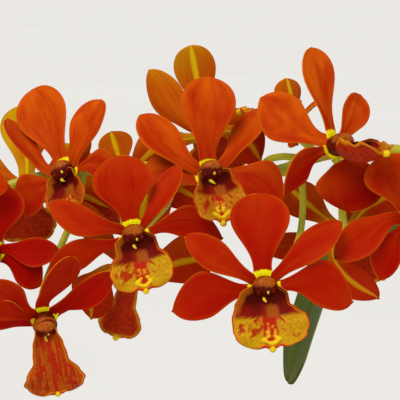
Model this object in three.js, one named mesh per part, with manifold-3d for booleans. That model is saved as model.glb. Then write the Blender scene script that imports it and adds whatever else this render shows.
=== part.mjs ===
// Potted foxtail orchid: clay pot, bark, stem, strap leaves, aerial roots and one flower spike.
// Millimetres, +Z up, the pot stands on z = 0 and the flowers face the front (-Y).
import * as THREE from 'three';
import ManifoldModule from 'manifold-3d';

const solidKernel = await ManifoldModule();
solidKernel.setup();
const { Manifold, Mesh: SolidMesh } = solidKernel;

// Driving dimensions
const GAP = 0.3;
const POT_HEIGHT = 115;
const POT_BASE_RADIUS = 45;
const POT_TOP_RADIUS = 63;
const POT_RIM_RADIUS = 70;
const POT_RIM_HEIGHT = 24;
const POT_WALL = 6;
const POT_FLOOR = 8;
const POT_SIDES = 36;
const DRAIN_HOLE_RADIUS = 5;
const DRAIN_HOLE_RING = 26;
const BARK_LEVEL = 99;
const STEM_RADIUS = 4.5;
const STEM_FOOT = 40;
const STEM_TOP = 226;
const ROOT_RADIUS = 2.6;
const LEAF_THICKNESS = 1.3;
const LEAF_WIDTH = 27;
const LEAF_FAN_TURN = -18;
const SPIKE_RADIUS = 2.5;
const PEDICEL_RADIUS = 1.15;
const BLADE_THICKNESS = 1.0;
const TEPAL_START = 2.6;
const TIP_SHARE = 0.28;
const HUB_BACK = -2.2;
const HUB_FRONT = 0.8;

// Frame of the flower spray: origin, and how far the spray leans back
const SPRAY_ORIGIN = [-110, -110, 340];
const SPRAY_LEAN = 8;

const radians = (degrees) => (degrees * Math.PI) / 180;
const vec = (x, y, z) => new THREE.Vector3(x, y, z);
const mix = (a, b, t) => a + (b - a) * t;

function smooth(x) {
  const t = Math.min(Math.max(x, 0), 1);
  return t * t * (3 - 2 * t);
}

// Smooth value through [place, value] pairs
function through(pairs, t) {
  if (t <= pairs[0][0]) return pairs[0][1];
  for (let i = 1; i < pairs.length; i += 1) {
    const [a, before] = pairs[i - 1];
    const [b, after] = pairs[i];
    if (t <= b) return mix(before, after, smooth((t - a) / (b - a)));
  }
  return pairs[pairs.length - 1][1];
}

// Repeatable random numbers for the bark
function dice(seed) {
  let state = seed;
  return () => {
    state = (state * 1664525 + 1013904223) % 4294967296;
    return state / 4294967296;
  };
}

// Closed shells become solids; a shell that faces inward is turned round
function shellVolume(points, faces) {
  let sum = 0;
  for (const [a, b, c] of faces) {
    sum += points[a].dot(points[b].clone().cross(points[c]));
  }
  return sum / 6;
}

function solidFrom(points, faces) {
  const turned = shellVolume(points, faces) < 0;
  const triangles = turned ? faces.map(([a, b, c]) => [a, c, b]) : faces;
  return new Manifold(new SolidMesh({
    numProp: 3,
    vertProperties: new Float32Array(points.flatMap((p) => [p.x, p.y, p.z])),
    triVerts: new Uint32Array(triangles.flat()),
  }));
}

const join = (solids) => Manifold.union(solids);

// A blade of even thickness over a grid of points, split alike on both faces
function bladeShell(grid, thickness, openBase = false) {
  const rows = grid.length;
  const columns = grid[0].length;
  const normalAt = (j, i) => {
    const across = grid[j][Math.min(i + 1, columns - 1)].clone().sub(grid[j][Math.max(i - 1, 0)]);
    const along = grid[Math.min(j + 1, rows - 1)][i].clone().sub(grid[Math.max(j - 1, 0)][i]);
    return across.cross(along).normalize();
  };
  const points = [];
  for (const side of [0.5, -0.5]) {
    for (let j = 0; j < rows; j += 1) {
      for (let i = 0; i < columns; i += 1) {
        points.push(grid[j][i].clone().addScaledVector(normalAt(j, i), side * thickness));
      }
    }
  }
  const back = rows * columns;
  const at = (j, i) => j * columns + i;
  const faces = [];
  for (let j = 0; j < rows - 1; j += 1) {
    for (let i = 0; i < columns - 1; i += 1) {
      const [a, b, c, d] = [at(j, i), at(j, i + 1), at(j + 1, i + 1), at(j + 1, i)];
      faces.push([a, b, c], [a, c, d]);
      faces.push([back + a, back + c, back + b], [back + a, back + d, back + c]);
    }
  }
  const edge = (a, b) => faces.push([b, a, back + a], [b, back + a, back + b]);
  for (let i = 0; i < columns - 1; i += 1) {
    if (!openBase) edge(at(0, i), at(0, i + 1));
    edge(at(rows - 1, i + 1), at(rows - 1, i));
  }
  for (let j = 0; j < rows - 1; j += 1) {
    edge(at(j + 1, 0), at(j, 0));
    edge(at(j, columns - 1), at(j + 1, columns - 1));
  }
  return { points, faces, back, columns };
}

function blade(grid, thickness) {
  const { points, faces } = bladeShell(grid, thickness);
  return solidFrom(points, faces);
}

// A round rod along a smooth path
function rod(stations, radiusAt, sides, segments, curved = true) {
  const path = curved
    ? new THREE.CatmullRomCurve3(stations, false, 'centripetal')
    : new THREE.LineCurve3(stations[0], stations[stations.length - 1]);
  const points = [];
  const faces = [];
  let across = null;
  for (let j = 0; j <= segments; j += 1) {
    const t = j / segments;
    const heading = path.getTangentAt(t);
    if (!across) {
      across = Math.abs(heading.z) > 0.8 ? vec(1, 0, 0) : vec(0, 0, 1);
    }
    across = across.clone().addScaledVector(heading, -across.dot(heading)).normalize();
    const other = heading.clone().cross(across);
    const centre = path.getPointAt(t);
    const radius = radiusAt(t);
    for (let i = 0; i < sides; i += 1) {
      const turn = (2 * Math.PI * i) / sides;
      points.push(centre.clone()
        .addScaledVector(across, radius * Math.cos(turn))
        .addScaledVector(other, radius * Math.sin(turn)));
    }
  }
  for (let j = 0; j < segments; j += 1) {
    for (let i = 0; i < sides; i += 1) {
      const next = (i + 1) % sides;
      const [a, b] = [j * sides + i, j * sides + next];
      const [c, d] = [a + sides, b + sides];
      faces.push([a, b, d], [a, d, c]);
    }
  }
  const first = points.push(path.getPointAt(0)) - 1;
  const last = points.push(path.getPointAt(1)) - 1;
  for (let i = 0; i < sides; i += 1) {
    const next = (i + 1) % sides;
    faces.push([first, next, i]);
    faces.push([last, segments * sides + i, segments * sides + next]);
  }
  return solidFrom(points, faces);
}

// A turned solid about Z from [radius, height] pairs that start and end on the axis
function turned(profile, sides) {
  const points = [];
  const faces = [];
  const inner = profile.slice(1, -1);
  for (const [radius, height] of inner) {
    for (let i = 0; i < sides; i += 1) {
      const turn = (2 * Math.PI * i) / sides;
      points.push(vec(radius * Math.cos(turn), radius * Math.sin(turn), height));
    }
  }
  const foot = points.push(vec(0, 0, profile[0][1])) - 1;
  const head = points.push(vec(0, 0, profile[profile.length - 1][1])) - 1;
  for (let j = 0; j < inner.length - 1; j += 1) {
    for (let i = 0; i < sides; i += 1) {
      const next = (i + 1) % sides;
      const [a, b] = [j * sides + i, j * sides + next];
      faces.push([a, b, b + sides], [a, b + sides, a + sides]);
    }
  }
  const top = (inner.length - 1) * sides;
  for (let i = 0; i < sides; i += 1) {
    const next = (i + 1) % sides;
    faces.push([foot, next, i], [head, top + i, top + next]);
  }
  return solidFrom(points, faces);
}

function upright(x, y, bottom, top, radius, sides) {
  return turned([[0, bottom], [radius, bottom], [radius, top], [0, top]], sides)
    .translate([x, y, 0]);
}

// Pot: tapered wall, plain band round the rim, four drain holes about a solid centre
function makePot() {
  const shoulder = POT_HEIGHT - POT_RIM_HEIGHT;
  const outerAt = (z) => mix(POT_BASE_RADIUS, POT_TOP_RADIUS, z / POT_HEIGHT);
  const outside = turned([
    [0, 0], [POT_BASE_RADIUS - 1.5, 0], [POT_BASE_RADIUS, 1.5],
    [outerAt(shoulder), shoulder], [POT_RIM_RADIUS - 1.5, shoulder],
    [POT_RIM_RADIUS, shoulder + 1.5], [POT_RIM_RADIUS, POT_HEIGHT - 2],
    [POT_RIM_RADIUS - 2, POT_HEIGHT], [0, POT_HEIGHT],
  ], POT_SIDES);
  const inside = turned([
    [0, POT_FLOOR], [outerAt(POT_FLOOR) - POT_WALL, POT_FLOOR],
    [POT_TOP_RADIUS - POT_WALL, POT_HEIGHT - 2], [POT_TOP_RADIUS - POT_WALL + 2, POT_HEIGHT + 1],
    [0, POT_HEIGHT + 1],
  ], POT_SIDES);
  const holes = [0, 1, 2, 3].map((k) => {
    const turn = radians(45 + 90 * k);
    return upright(DRAIN_HOLE_RING * Math.cos(turn), DRAIN_HOLE_RING * Math.sin(turn),
      -1, POT_FLOOR + 1, DRAIN_HOLE_RADIUS, 16);
  });
  return outside.subtract(join([inside, ...holes]));
}

// Bark: a filled body with loose-looking chips set into its top
const CHIP_RINGS = [[14, 6], [26, 11], [38, 15], [47, 17]];

function makeBark(cutters) {
  const random = dice(7);
  const innerAt = (z) => mix(POT_BASE_RADIUS, POT_TOP_RADIUS, z / POT_HEIGHT) - POT_WALL - GAP;
  const floor = POT_FLOOR + GAP;
  const body = turned([
    [0, floor], [innerAt(floor), floor], [innerAt(BARK_LEVEL), BARK_LEVEL], [0, BARK_LEVEL],
  ], POT_SIDES);
  const chips = [];
  for (const [ring, count] of CHIP_RINGS) {
    for (let k = 0; k < count; k += 1) {
      const turn = (2 * Math.PI * (k + random() * 0.5)) / count;
      const reach = ring + (random() - 0.5) * 3;
      const half = [mix(5, 8.5, random()), mix(3.5, 5.5, random()), mix(2, 3.6, random())];
      const corners = [];
      for (const z of [-1, 1]) {
        for (const [x, y] of [[-1, -1], [1, -1], [1, 1], [-1, 1]]) {
          const worn = () => mix(0.62, 1, random());
          corners.push(vec(x * half[0] * worn(), y * half[1] * worn(), z * half[2] * worn()));
        }
      }
      const pose = new THREE.Matrix4().makeRotationFromEuler(new THREE.Euler(
        (random() - 0.5) * 0.9, (random() - 0.5) * 0.7, random() * Math.PI));
      pose.setPosition(reach * Math.cos(turn), reach * Math.sin(turn), BARK_LEVEL + random() * 2.2);
      corners.forEach((corner) => corner.applyMatrix4(pose));
      const faces = [[0, 2, 1], [0, 3, 2], [4, 5, 6], [4, 6, 7], [0, 1, 5], [0, 5, 4],
        [1, 2, 6], [1, 6, 5], [2, 3, 7], [2, 7, 6], [3, 0, 4], [3, 4, 7]];
      chips.push(solidFrom(corners, faces));
    }
  }
  const keep = turned([
    [0, floor], [innerAt(floor), floor], [innerAt(POT_HEIGHT - 3), POT_HEIGHT - 3],
    [0, POT_HEIGHT - 3],
  ], POT_SIDES);
  const filled = join([body, ...chips]).intersect(keep);
  return cutters.reduce((rest, cutter) => rest.subtract(cutter), filled);
}

// Stem with low rings where old leaves stood
function makeStem(extra = 0) {
  const profile = [[0, STEM_FOOT - extra]];
  profile.push([STEM_RADIUS + extra, STEM_FOOT - extra]);
  profile.push([STEM_RADIUS + extra, STEM_TOP - 4]);
  profile.push([STEM_RADIUS * 0.6 + extra, STEM_TOP + extra], [0, STEM_TOP + extra]);
  return turned(profile, 16);
}

// Aerial roots: paths from the stem into the bark, one over the rim
const ROOT_PATHS = [
  [[3, -2, 128], [16, -12, 131], [30, -23, 121], [37, -28, 106], [38, -28, 90]],
  [[-3, -2, 113], [-18, -13, 119], [-30, -22, 115], [-36, -26, 104], [-38, -27, 90]],
  [[2, 3, 134], [14, 17, 137], [23, 29, 126], [27, 36, 108], [27, 37, 91]],
  [[0, -3, 132.5], [3, -13, 134], [9, -28, 141], [19, -47, 138], [26, -63, 127], [28, -69, 112],
    [29, -70, 92], [27, -68, 70], [23, -66, 52]],
];

function makeRoot(path, extra = 0) {
  const long = path.length > 6;
  const radiusAt = (t) => (t > 0.97 && long ? 0.6 : 1) * ROOT_RADIUS + extra;
  return rod(path.map((p) => vec(...p)), radiusAt, 7, long ? 16 : 10);
}

// Strap leaves: base height, side, first and last climb, length, where the bend lies, sideways
// drift and the twist at the tip
const LEAVES = [
  { height: 126, side: -1, climb: [50, -38], length: 185, bend: [0.1, 1], drift: 14, twist: 20 },
  { height: 136, side: 1, climb: [52, -34], length: 195, bend: [0.1, 1], drift: -10, twist: -25 },
  { height: 147, side: -1, climb: [50, -36], length: 205, bend: [0.15, 1], drift: -9, twist: 30 },
  { height: 157, side: 1, climb: [58, -30], length: 210, bend: [0.15, 1], drift: 8, twist: -15 },
  { height: 168, side: -1, climb: [52, -42], length: 190, bend: [0.2, 1], drift: 16, twist: -20 },
  { height: 178, side: 1, climb: [66, -22], length: 215, bend: [0.2, 1], drift: -12, twist: 25 },
  { height: 190, side: -1, climb: [83, -73], length: 213.5, bend: [0.42, 0.86], drift: -5, twist: 35 },
  { height: 200, side: 1, climb: [78, 4], length: 190, bend: [0.2, 1], drift: 6, twist: 20 },
  { height: 211, side: -1, climb: [90, 81], length: 105, bend: [0.2, 1], drift: 0, twist: 8 },
];
const LEAF_HALF = [[0, 0.55], [0.12, 0.8], [0.35, 1], [0.75, 0.9], [0.93, 0.76], [1, 0.62]];
const LEAF_FOLD = [[0, 150], [0.1, 135], [0.3, 78], [0.7, 46], [1, 26]];

function makeLeaf(leaf, stemCutter) {
  const rows = 11;
  const steps = 72;
  const halfAt = (t) => through(LEAF_HALF, t) * (LEAF_WIDTH / 2);
  const foldAt = (t) => radians(through(LEAF_FOLD, t));
  const climbAt = (t) => radians(mix(leaf.climb[0], leaf.climb[1],
    smooth((t - leaf.bend[0]) / (leaf.bend[1] - leaf.bend[0]))));
  const startRadius = halfAt(0) / (foldAt(0) / 2);
  const centres = [vec(leaf.side * startRadius, 0, leaf.height)];
  for (let k = 0; k < steps; k += 1) {
    const t = (k + 0.5) / steps;
    const climb = climbAt(t);
    const course = radians(leaf.drift * t);
    const heading = vec(leaf.side * Math.cos(climb) * Math.cos(course),
      Math.cos(climb) * Math.sin(course), Math.sin(climb));
    centres.push(centres[k].clone().addScaledVector(heading, leaf.length / steps));
  }
  const grid = [];
  for (let j = 0; j <= rows; j += 1) {
    const t = j / rows;
    const k = Math.round(t * steps);
    const climb = climbAt(t);
    const course = radians(leaf.drift * t);
    const heading = vec(leaf.side * Math.cos(climb) * Math.cos(course),
      Math.cos(climb) * Math.sin(course), Math.sin(climb));
    const level = vec(-Math.sin(course) * leaf.side, Math.cos(course), 0).normalize();
    const above = heading.clone().cross(level).multiplyScalar(leaf.side).normalize();
    const twist = radians(leaf.twist) * smooth((t - 0.25) / 0.7);
    const across = level.clone().multiplyScalar(Math.cos(twist)).addScaledVector(above, Math.sin(twist));
    const up = above.clone().multiplyScalar(Math.cos(twist)).addScaledVector(level, -Math.sin(twist));
    const half = halfAt(t);
    const fold = foldAt(t);
    const radius = half / (fold / 2);
    const row = [];
    for (let i = -2; i <= 2; i += 1) {
      const turn = (i / 2) * (fold / 2);
      row.push(centres[k].clone()
        .addScaledVector(across, radius * Math.sin(turn))
        .addScaledVector(up, radius * (1 - Math.cos(turn))));
    }
    grid.push(row);
  }
  return blade(grid, LEAF_THICKNESS)
    .rotate([0, 0, LEAF_FAN_TURN]).subtract(stemCutter);
}

// Flower parts in a bloom's own axes: x to its right, y up, z out of its face
const TEPALS = {
  dorsal: {
    angle: 0, length: 23.5, width: 16, lift: 14, curl: 26, bend: 0, turn: 0, cup: 0.1, bulge: 0,
    claw: 0.2, neck: 0.1, widest: 0.71, tip: 2, sharp: 0.5,
  },
  petalLeft: {
    angle: -52, length: 22.5, width: 8.5, lift: 16, curl: 30, bend: 0, turn: -10, cup: 0.16,
    bulge: -0.1, claw: 0.15, neck: 0.06, widest: 0.62, tip: 1.8, sharp: 0.62,
  },
  petalRight: {
    angle: 52, length: 22.5, width: 8.5, lift: 16, curl: 30, bend: 0, turn: 10, cup: 0.16, bulge: 0.1,
    claw: 0.15, neck: 0.06, widest: 0.62, tip: 1.8, sharp: 0.62,
  },
  sepalLeft: {
    angle: -102, length: 23, width: 12.5, lift: 8, curl: 22, bend: 0, turn: 8, cup: 0.08, bulge: 0.18,
    claw: 0.15, neck: 0.08, widest: 0.6, tip: 1.8, sharp: 0.66,
  },
  sepalRight: {
    angle: 102, length: 23, width: 12.5, lift: 8, curl: 22, bend: 0, turn: -8, cup: 0.08, bulge: -0.22,
    claw: 0.15, neck: 0.08, widest: 0.6, tip: 1.8, sharp: 0.66,
  },
};
const LIP = {
  drop: [36, 76],
  length: 18.4,
  half: [[0, 2.4], [0.13, 5.5], [0.3, 6.8], [0.42, 6.4], [0.5, 7.9], [0.6, 10], [0.72, 10.4], [0.82, 9.5]],
  fold: [[0, 190], [0.15, 200], [0.3, 132], [0.45, 96], [0.6, 60], [0.8, 34], [1, 16]],
};

// Blooms: place in the spray (across, up, out), the way they face, and what differs from the norm
const BLOOMS = [
  {
    at: [17.7, -24, 2], yaw: 2, pitch: 4, roll: -5, size: 1.04,
    stalk: [[29.8, 6, -30], [29.8, -8, -29], [26, -17, -20]],
    dorsal: { angle: 2, length: 22.5 }, petalLeft: { bulge: -0.05, turn: -6 },
    petalRight: { angle: 56, length: 24.5, bulge: 0 }, sepalLeft: { angle: -99, length: 22.5 },
    sepalRight: { angle: 106, length: 21.3, bulge: -0.3 },
    lip: { left: [[0, 2.4], [0.13, 6.2], [0.3, 8.9], [0.45, 10], [0.6, 10.4], [0.72, 10.2], [0.82, 9.6]] },
  },
  {
    at: [-18.7, -9.9, -9], yaw: 2, pitch: 4, roll: -12, size: 1,
    stalk: [[-8.5, 7, -29], [-8.7, 1, -27], [-13, -5, -20]],
    dorsal: { length: 20.3, width: 17, widest: 0.62 },
    petalLeft: { angle: -60, length: 23, width: 9, bulge: -0.23 },
    petalRight: { angle: 43, length: 21.5, width: 8, lift: 10, turn: 34, bulge: 0.05 },
    sepalLeft: { angle: -80, bend: -52, width: 8.5, bulge: 0, lift: 16, curl: 44, length: 25 },
    sepalRight: { angle: 105, length: 22.5, width: 10, turn: -14, bulge: -0.42 },
    lip: { half: [[0, 2.4], [0.13, 5.6], [0.3, 7.2], [0.43, 6.8], [0.57, 8.6], [0.7, 9.2], [0.82, 8.6]] },
  },
  {
    at: [2.9, 6.9, -19], yaw: 4, pitch: 22, roll: -8, size: 1.06,
    dorsal: { angle: 10, length: 25, width: 15, lift: 28 },
    petalLeft: { angle: -34, length: 24, width: 11.5, lift: 12, turn: -14 },
    petalRight: { angle: 42, length: 23.5, width: 9.5, lift: 12, turn: 34 },
    sepalLeft: { angle: -74, length: 18, lift: -4 }, sepalRight: { angle: 127, length: 19 },
    lip: {
      drop: [44, 82],
      half: [[0, 2.4], [0.13, 5.2], [0.3, 6.8], [0.43, 6.4], [0.57, 7.6], [0.7, 8], [0.82, 7.2]],
      fold: [[0, 190], [0.15, 205], [0.3, 182], [0.45, 150], [0.6, 118], [0.8, 88], [1, 60]],
    },
  },
  {
    at: [37.7, 14.7, -10], yaw: 40, pitch: 16, roll: 0, size: 1.08,
    stalk: [[18.2, 5, -29], [19.3, 11.2, -26], [23.5, 12.6, -23.5]],
    dorsal: { angle: -5, length: 25, width: 11.3, bulge: -0.16 },
    petalLeft: { angle: -33, length: 21, width: 13, lift: -26, curl: 5, turn: 34 },
    petalRight: { angle: 38, length: 17.5, width: 8, tip: 2.2, sharp: 0.5, bulge: 0 },
    sepalLeft: { angle: -98, bend: -72, length: 21, width: 9.5, lift: 10, curl: 50, turn: 30, bulge: 0 },
    sepalRight: { angle: 175, length: 18, width: 19, lift: -8, turn: -38, bulge: 0 },
    lip: {
      drop: [46, -4], half: [[0, 2.4], [0.13, 6], [0.3, 9], [0.43, 9.4], [0.57, 8.8], [0.7, 8], [0.82, 7]],
      fold: [[0, 190], [0.15, 200], [0.3, 184], [0.45, 168], [0.6, 150], [0.8, 120], [1, 90]],
    },
  },
  {
    at: [59.8, -5.6, -8], yaw: 10, pitch: 5, roll: -33, size: 1,
    dorsal: { angle: 7, length: 17.5, width: 15 },
    petalLeft: { angle: -91, length: 24, width: 10.5, bulge: 0.05 },
    sepalLeft: { angle: -122, length: 17, width: 10 },
  },
  {
    at: [-38.5, 7.4, -22], yaw: -24, pitch: 18, roll: -30, size: 1,
    dorsal: { angle: -1, length: 28, widest: 0.66, bulge: 0.04 },
    petalLeft: { angle: -14, length: 26.5, width: 9, turn: -60, over: true },
    petalRight: { angle: 49, length: 21.5, width: 11.5, bulge: 0, tip: 2.2, sharp: 0.5 },
    sepalLeft: { angle: -97, length: 16 }, sepalRight: { angle: 124, length: 14, width: 9 },
    lip: {
      drop: [56, 84], length: 15.5,
      half: [[0, 2.4], [0.13, 4.8], [0.3, 6.4], [0.43, 6.2], [0.57, 7.2], [0.7, 7.4], [0.82, 7]],
      fold: [[0, 190], [0.15, 200], [0.3, 172], [0.45, 150], [0.6, 128], [0.8, 104], [1, 80]],
    },
  },
  { at: [-52.6, 3, -46], yaw: 190, pitch: 0, roll: 0, size: 1 },
  {
    at: [2.4, 20, -39], yaw: 180, pitch: 12, roll: 14, size: 1,
    dorsal: { angle: -4, length: 25, lift: 4, width: 12.5 }, petalLeft: { angle: -100, length: 12 },
    petalRight: { angle: 25, length: 25, width: 11, lift: 34 }, sepalLeft: { angle: -142, length: 16 },
  },
  {
    at: [-43.4, -32.8, -3], yaw: 8, pitch: -34, roll: -12, size: 1,
    stalk: [[-35, 6, -28], [-36, -1.5, -27], [-42, -18, -18]],
    dorsal: { angle: 38, length: 21.2, width: 12.5, turn: -32 },
    petalLeft: { angle: -31, length: 18, width: 12.5 },
    petalRight: { angle: 67, length: 21, width: 8.5, lift: 10, sharp: 0.5 },
    sepalLeft: { angle: -62, length: 17, width: 12.5 }, sepalRight: { angle: 150, lift: -50, length: 16 },
    lip: { length: 20.5, half: [[0, 2.4], [0.15, 5.2], [0.5, 5.4], [0.66, 7.8], [0.76, 8.8], [0.84, 8]] },
  },
  {
    at: [-59.6, -14.9, -16], yaw: -10, pitch: -4, roll: 22, size: 1,
    dorsal: { angle: -6, length: 17, width: 12 }, petalRight: { angle: 72, length: 18 },
    sepalRight: { angle: 102, length: 14.5, width: 11, lift: 7 },
  },
  {
    at: [-24, 5, -54], yaw: 170, pitch: 8, roll: 0, size: 1,
    dorsal: { angle: 16, length: 14, width: 11 }, petalRight: { angle: 66 },
  },
  {
    at: [-21.1, -21.7, -42], yaw: 176, pitch: 0, roll: -14, size: 1.08,
    dorsal: { angle: 6 }, sepalRight: { angle: 171, length: 16.5, width: 13 }, sepalLeft: { angle: -56 },
    lip: {
      drop: [62, 88], length: 19,
      half: [[0, 2.4], [0.13, 4], [0.3, 3.6], [0.5, 3.6], [0.68, 5.6], [0.8, 6.4], [0.88, 6.2]],
    },
  },
  {
    at: [42.8, -9.6, -38], yaw: 176, pitch: -20, roll: 48, size: 1,
    dorsal: { length: 20, width: 12 }, petalLeft: { length: 19 }, sepalLeft: { length: 19 },
    sepalRight: { angle: 174, length: 23.5, width: 10 },
  },
  { at: [88, 12, -10], yaw: 42, pitch: 18, roll: 10, size: 1 },
  { at: [-77, 4, -14], yaw: -18, pitch: 8, roll: -12, size: 0.95 },
  { at: [-86, -34, -26], yaw: -14, pitch: -14, roll: 8, size: 0.95 },
  { at: [88, -36, -30], yaw: 34, pitch: -24, roll: -10, size: 1 },
  {
    at: [27, 21, -36.5], yaw: -70, pitch: 38, roll: 12, size: 1,
    dorsal: { angle: -18, length: 13.5, width: 13, lift: 50, curl: 0, turn: 64 }, petalLeft: { length: 11 },
    petalRight: { angle: 30, length: 13, width: 8 }, sepalLeft: { length: 11, width: 8 },
    sepalRight: { length: 12, width: 9 },
    lip: {
      drop: [10, 24], length: 15, half: [[0, 2.4], [0.13, 3.8], [0.5, 3.6], [0.72, 4.4], [0.82, 4.2]],
    },
  },
];

const spray = new THREE.Matrix4().makeBasis(
  vec(1, 0, 0),
  vec(0, Math.sin(radians(SPRAY_LEAN)), Math.cos(radians(SPRAY_LEAN))),
  vec(0, -Math.cos(radians(SPRAY_LEAN)), Math.sin(radians(SPRAY_LEAN))),
).setPosition(...SPRAY_ORIGIN);

function bloomPose(bloom) {
  const facing = new THREE.Matrix4().makeRotationFromEuler(new THREE.Euler(
    -radians(bloom.pitch), radians(bloom.yaw), -radians(bloom.roll), 'YXZ'));
  facing.scale(vec(bloom.size, bloom.size, bloom.size));
  facing.setPosition(...bloom.at);
  return spray.clone().multiply(facing);
}

const placed = (solid, pose) => solid.transform(pose.elements);

// Share of the full width: a narrow claw, a widest place and a tip that is round or pointed
function tepalOutline(tepal, t) {
  const rise = smooth((t - tepal.neck) / (tepal.widest - tepal.neck)) ** 1.2;
  const past = Math.max((t - tepal.widest) / (1 - tepal.widest), 0);
  const fall = Math.max(1 - past ** tepal.tip, 0) ** tepal.sharp;
  return Math.min(mix(tepal.claw, 1, rise), Math.max(fall, TIP_SHARE));
}

function tepalGrid(tepal, rootAngle) {
  const rows = tepal.width > 11.5 ? 4 : 3;
  const steps = 64;
  const courseAt = (t) => radians(mix(rootAngle, tepal.angle, smooth(t / 0.3)) + tepal.bend * t ** 1.3);
  const outward = (t) => {
    const rise = radians(tepal.lift - tepal.curl * t ** 1.4);
    const course = courseAt(t);
    return vec(Math.cos(rise) * Math.sin(course), Math.cos(rise) * Math.cos(course), Math.sin(rise));
  };
  const centres = [vec(Math.sin(courseAt(0)), Math.cos(courseAt(0)), 0).multiplyScalar(TEPAL_START)];
  for (let k = 0; k < steps; k += 1) {
    const heading = outward((k + 0.5) / steps);
    centres.push(centres[k].clone().addScaledVector(heading, tepal.length / steps));
  }
  const grid = [];
  for (let j = 0; j <= rows; j += 1) {
    const t = 1 - (1 - j / rows) ** 1.35;
    const across = vec(Math.cos(courseAt(t)), -Math.sin(courseAt(t)), 0);
    const face = across.clone().cross(outward(t));
    const turn = radians(tepal.turn) * smooth(t / 0.35);
    const side = across.clone().multiplyScalar(Math.cos(turn)).addScaledVector(face, Math.sin(turn));
    const front = face.clone().multiplyScalar(Math.cos(turn)).addScaledVector(across, -Math.sin(turn));
    const half = (tepalOutline(tepal, t) * tepal.width) / 2;
    const bulge = tepal.bulge * tepal.width * Math.sin(Math.PI * t) ** 1.2;
    const centre = centres[Math.round(t * steps)];
    grid.push([-1, 0, 1].map((u) => centre.clone()
      .addScaledVector(side, u * half + bulge)
      .addScaledVector(front, tepal.cup * u * u * half)));
  }
  return grid;
}

// Five tepals round a low hub, as one shell; a tepal that lies over its neighbour is joined on after
function makeTepals(bloom) {
  const norms = Object.entries(TEPALS).sort((a, b) => b[1].angle - a[1].angle);
  const points = [vec(0, 0, HUB_FRONT), vec(0, 0, HUB_BACK)];
  const faces = [];
  const ring = [];
  const extra = [];
  for (const [name, norm] of norms) {
    const tepal = { ...norm, ...bloom[name] };
    const grid = tepalGrid(tepal, norm.angle);
    if (tepal.over) {
      extra.push(blade(grid.map((row) => row.map((p) => p.clone())), BLADE_THICKNESS));
      continue;
    }
    const shell = bladeShell(grid, BLADE_THICKNESS, true);
    const first = points.length;
    points.push(...shell.points);
    faces.push(...shell.faces.map((face) => face.map((index) => index + first)));
    for (let i = shell.columns - 1; i >= 0; i -= 1) {
      ring.push({ front: first + i, back: first + shell.back + i, blade: name });
    }
  }
  ring.forEach((here, k) => {
    const next = ring[(k + 1) % ring.length];
    faces.push([0, here.front, next.front], [1, next.back, here.back]);
    if (here.blade !== next.blade) {
      faces.push([here.front, here.back, next.back], [here.front, next.back, next.front]);
    }
  });
  return placed(join([solidFrom(points, faces), ...extra]), bloomPose(bloom));
}

function makeLip(bloom) {
  const lip = { ...LIP, ...bloom.lip };
  const rows = 5;
  const steps = 60;
  const outward = (t) => {
    const drop = radians(mix(lip.drop[0], lip.drop[1], smooth(t * 1.1)));
    return vec(0, -Math.sin(drop), Math.cos(drop));
  };
  const centres = [vec(0, -1.2, 1.5)];
  for (let k = 0; k < steps; k += 1) {
    centres.push(centres[k].clone().addScaledVector(outward(k / steps), lip.length / steps));
  }
  const grid = [];
  for (let j = 0; j <= rows; j += 1) {
    const t = j / rows;
    const up = outward(t).cross(vec(1, 0, 0));
    const past = Math.max((t - 0.82) / 0.18, 0);
    const fold = radians(through(lip.fold, t));
    grid.push([-1, -0.5, 0, 0.5, 1].map((u) => {
      const half = through(u < 0 && lip.left ? lip.left : lip.half, t) * Math.sqrt(1 - 0.86 * past ** 2);
      const radius = half / (fold / 2);
      return centres[Math.round(t * steps)].clone()
        .addScaledVector(vec(1, 0, 0), radius * Math.sin((u * fold) / 2))
        .addScaledVector(up, radius * (1 - Math.cos((u * fold) / 2)));
    }));
  }
  const column = rod([vec(0, 0.3, 1.1), vec(0, 0.8, 5.6)], (t) => mix(2.3, 1.5, smooth((t - 0.5) * 2)),
    6, 2, false);
  return placed(join([blade(grid, BLADE_THICKNESS), column]), bloomPose(bloom));
}

// Flower spike: stalk from the stem, bending over to the left, with a stalklet to every bloom
const SPIKE_PATH = [
  [-2.3, -7.1, 146], [-1, -11, 170], [4, -23, 206], [8, -43, 252], [4, -64, 298], [-14, -77, 334],
  [-40, -80, 348], [-62, -80, 350.5], [-75, -80, 349], [-86, -80, 344.5], [-98, -80, 343.3],
  [-113, -80, 345], [-130, -80, 345.5], [-150, -80, 344], [-166, -80, 340], [-207, -83, 323],
  [-237, -87, 304],
].map((p) => vec(...p));
const spikeCurve = new THREE.CatmullRomCurve3(SPIKE_PATH, false, 'centripetal');

// Buds at the tip: place, the way they point, length and thickness
const BUDS = [
  { at: [-112, -2, -24], toward: [-0.5, 0.55, 0.67], length: 12, radius: 4.2 },
  { at: [-118, -24, -22], toward: [-0.45, -0.6, 0.66], length: 11, radius: 3.9 },
  { at: [-133, -36, -27], toward: [-0.9, -0.35, 0.25], length: 9, radius: 3.1 },
];

function nearestOnSpike(point) {
  let best = spikeCurve.getPointAt(0.5);
  for (let k = 40; k <= 200; k += 1) {
    const candidate = spikeCurve.getPointAt(k / 200);
    if (candidate.distanceTo(point) < best.distanceTo(point)) best = candidate;
  }
  return best;
}

function stalklet(end, outward, stops = []) {
  const foot = nearestOnSpike(stops[0] ?? end.clone().addScaledVector(outward, -12)).clone();
  const behind = end.clone().addScaledVector(outward, -7);
  const middle = stops.length ? stops : [foot.clone().lerp(behind, 0.55)];
  return rod([foot, ...middle, behind, end], () => PEDICEL_RADIUS, 5, 5 + 2 * stops.length);
}

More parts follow.
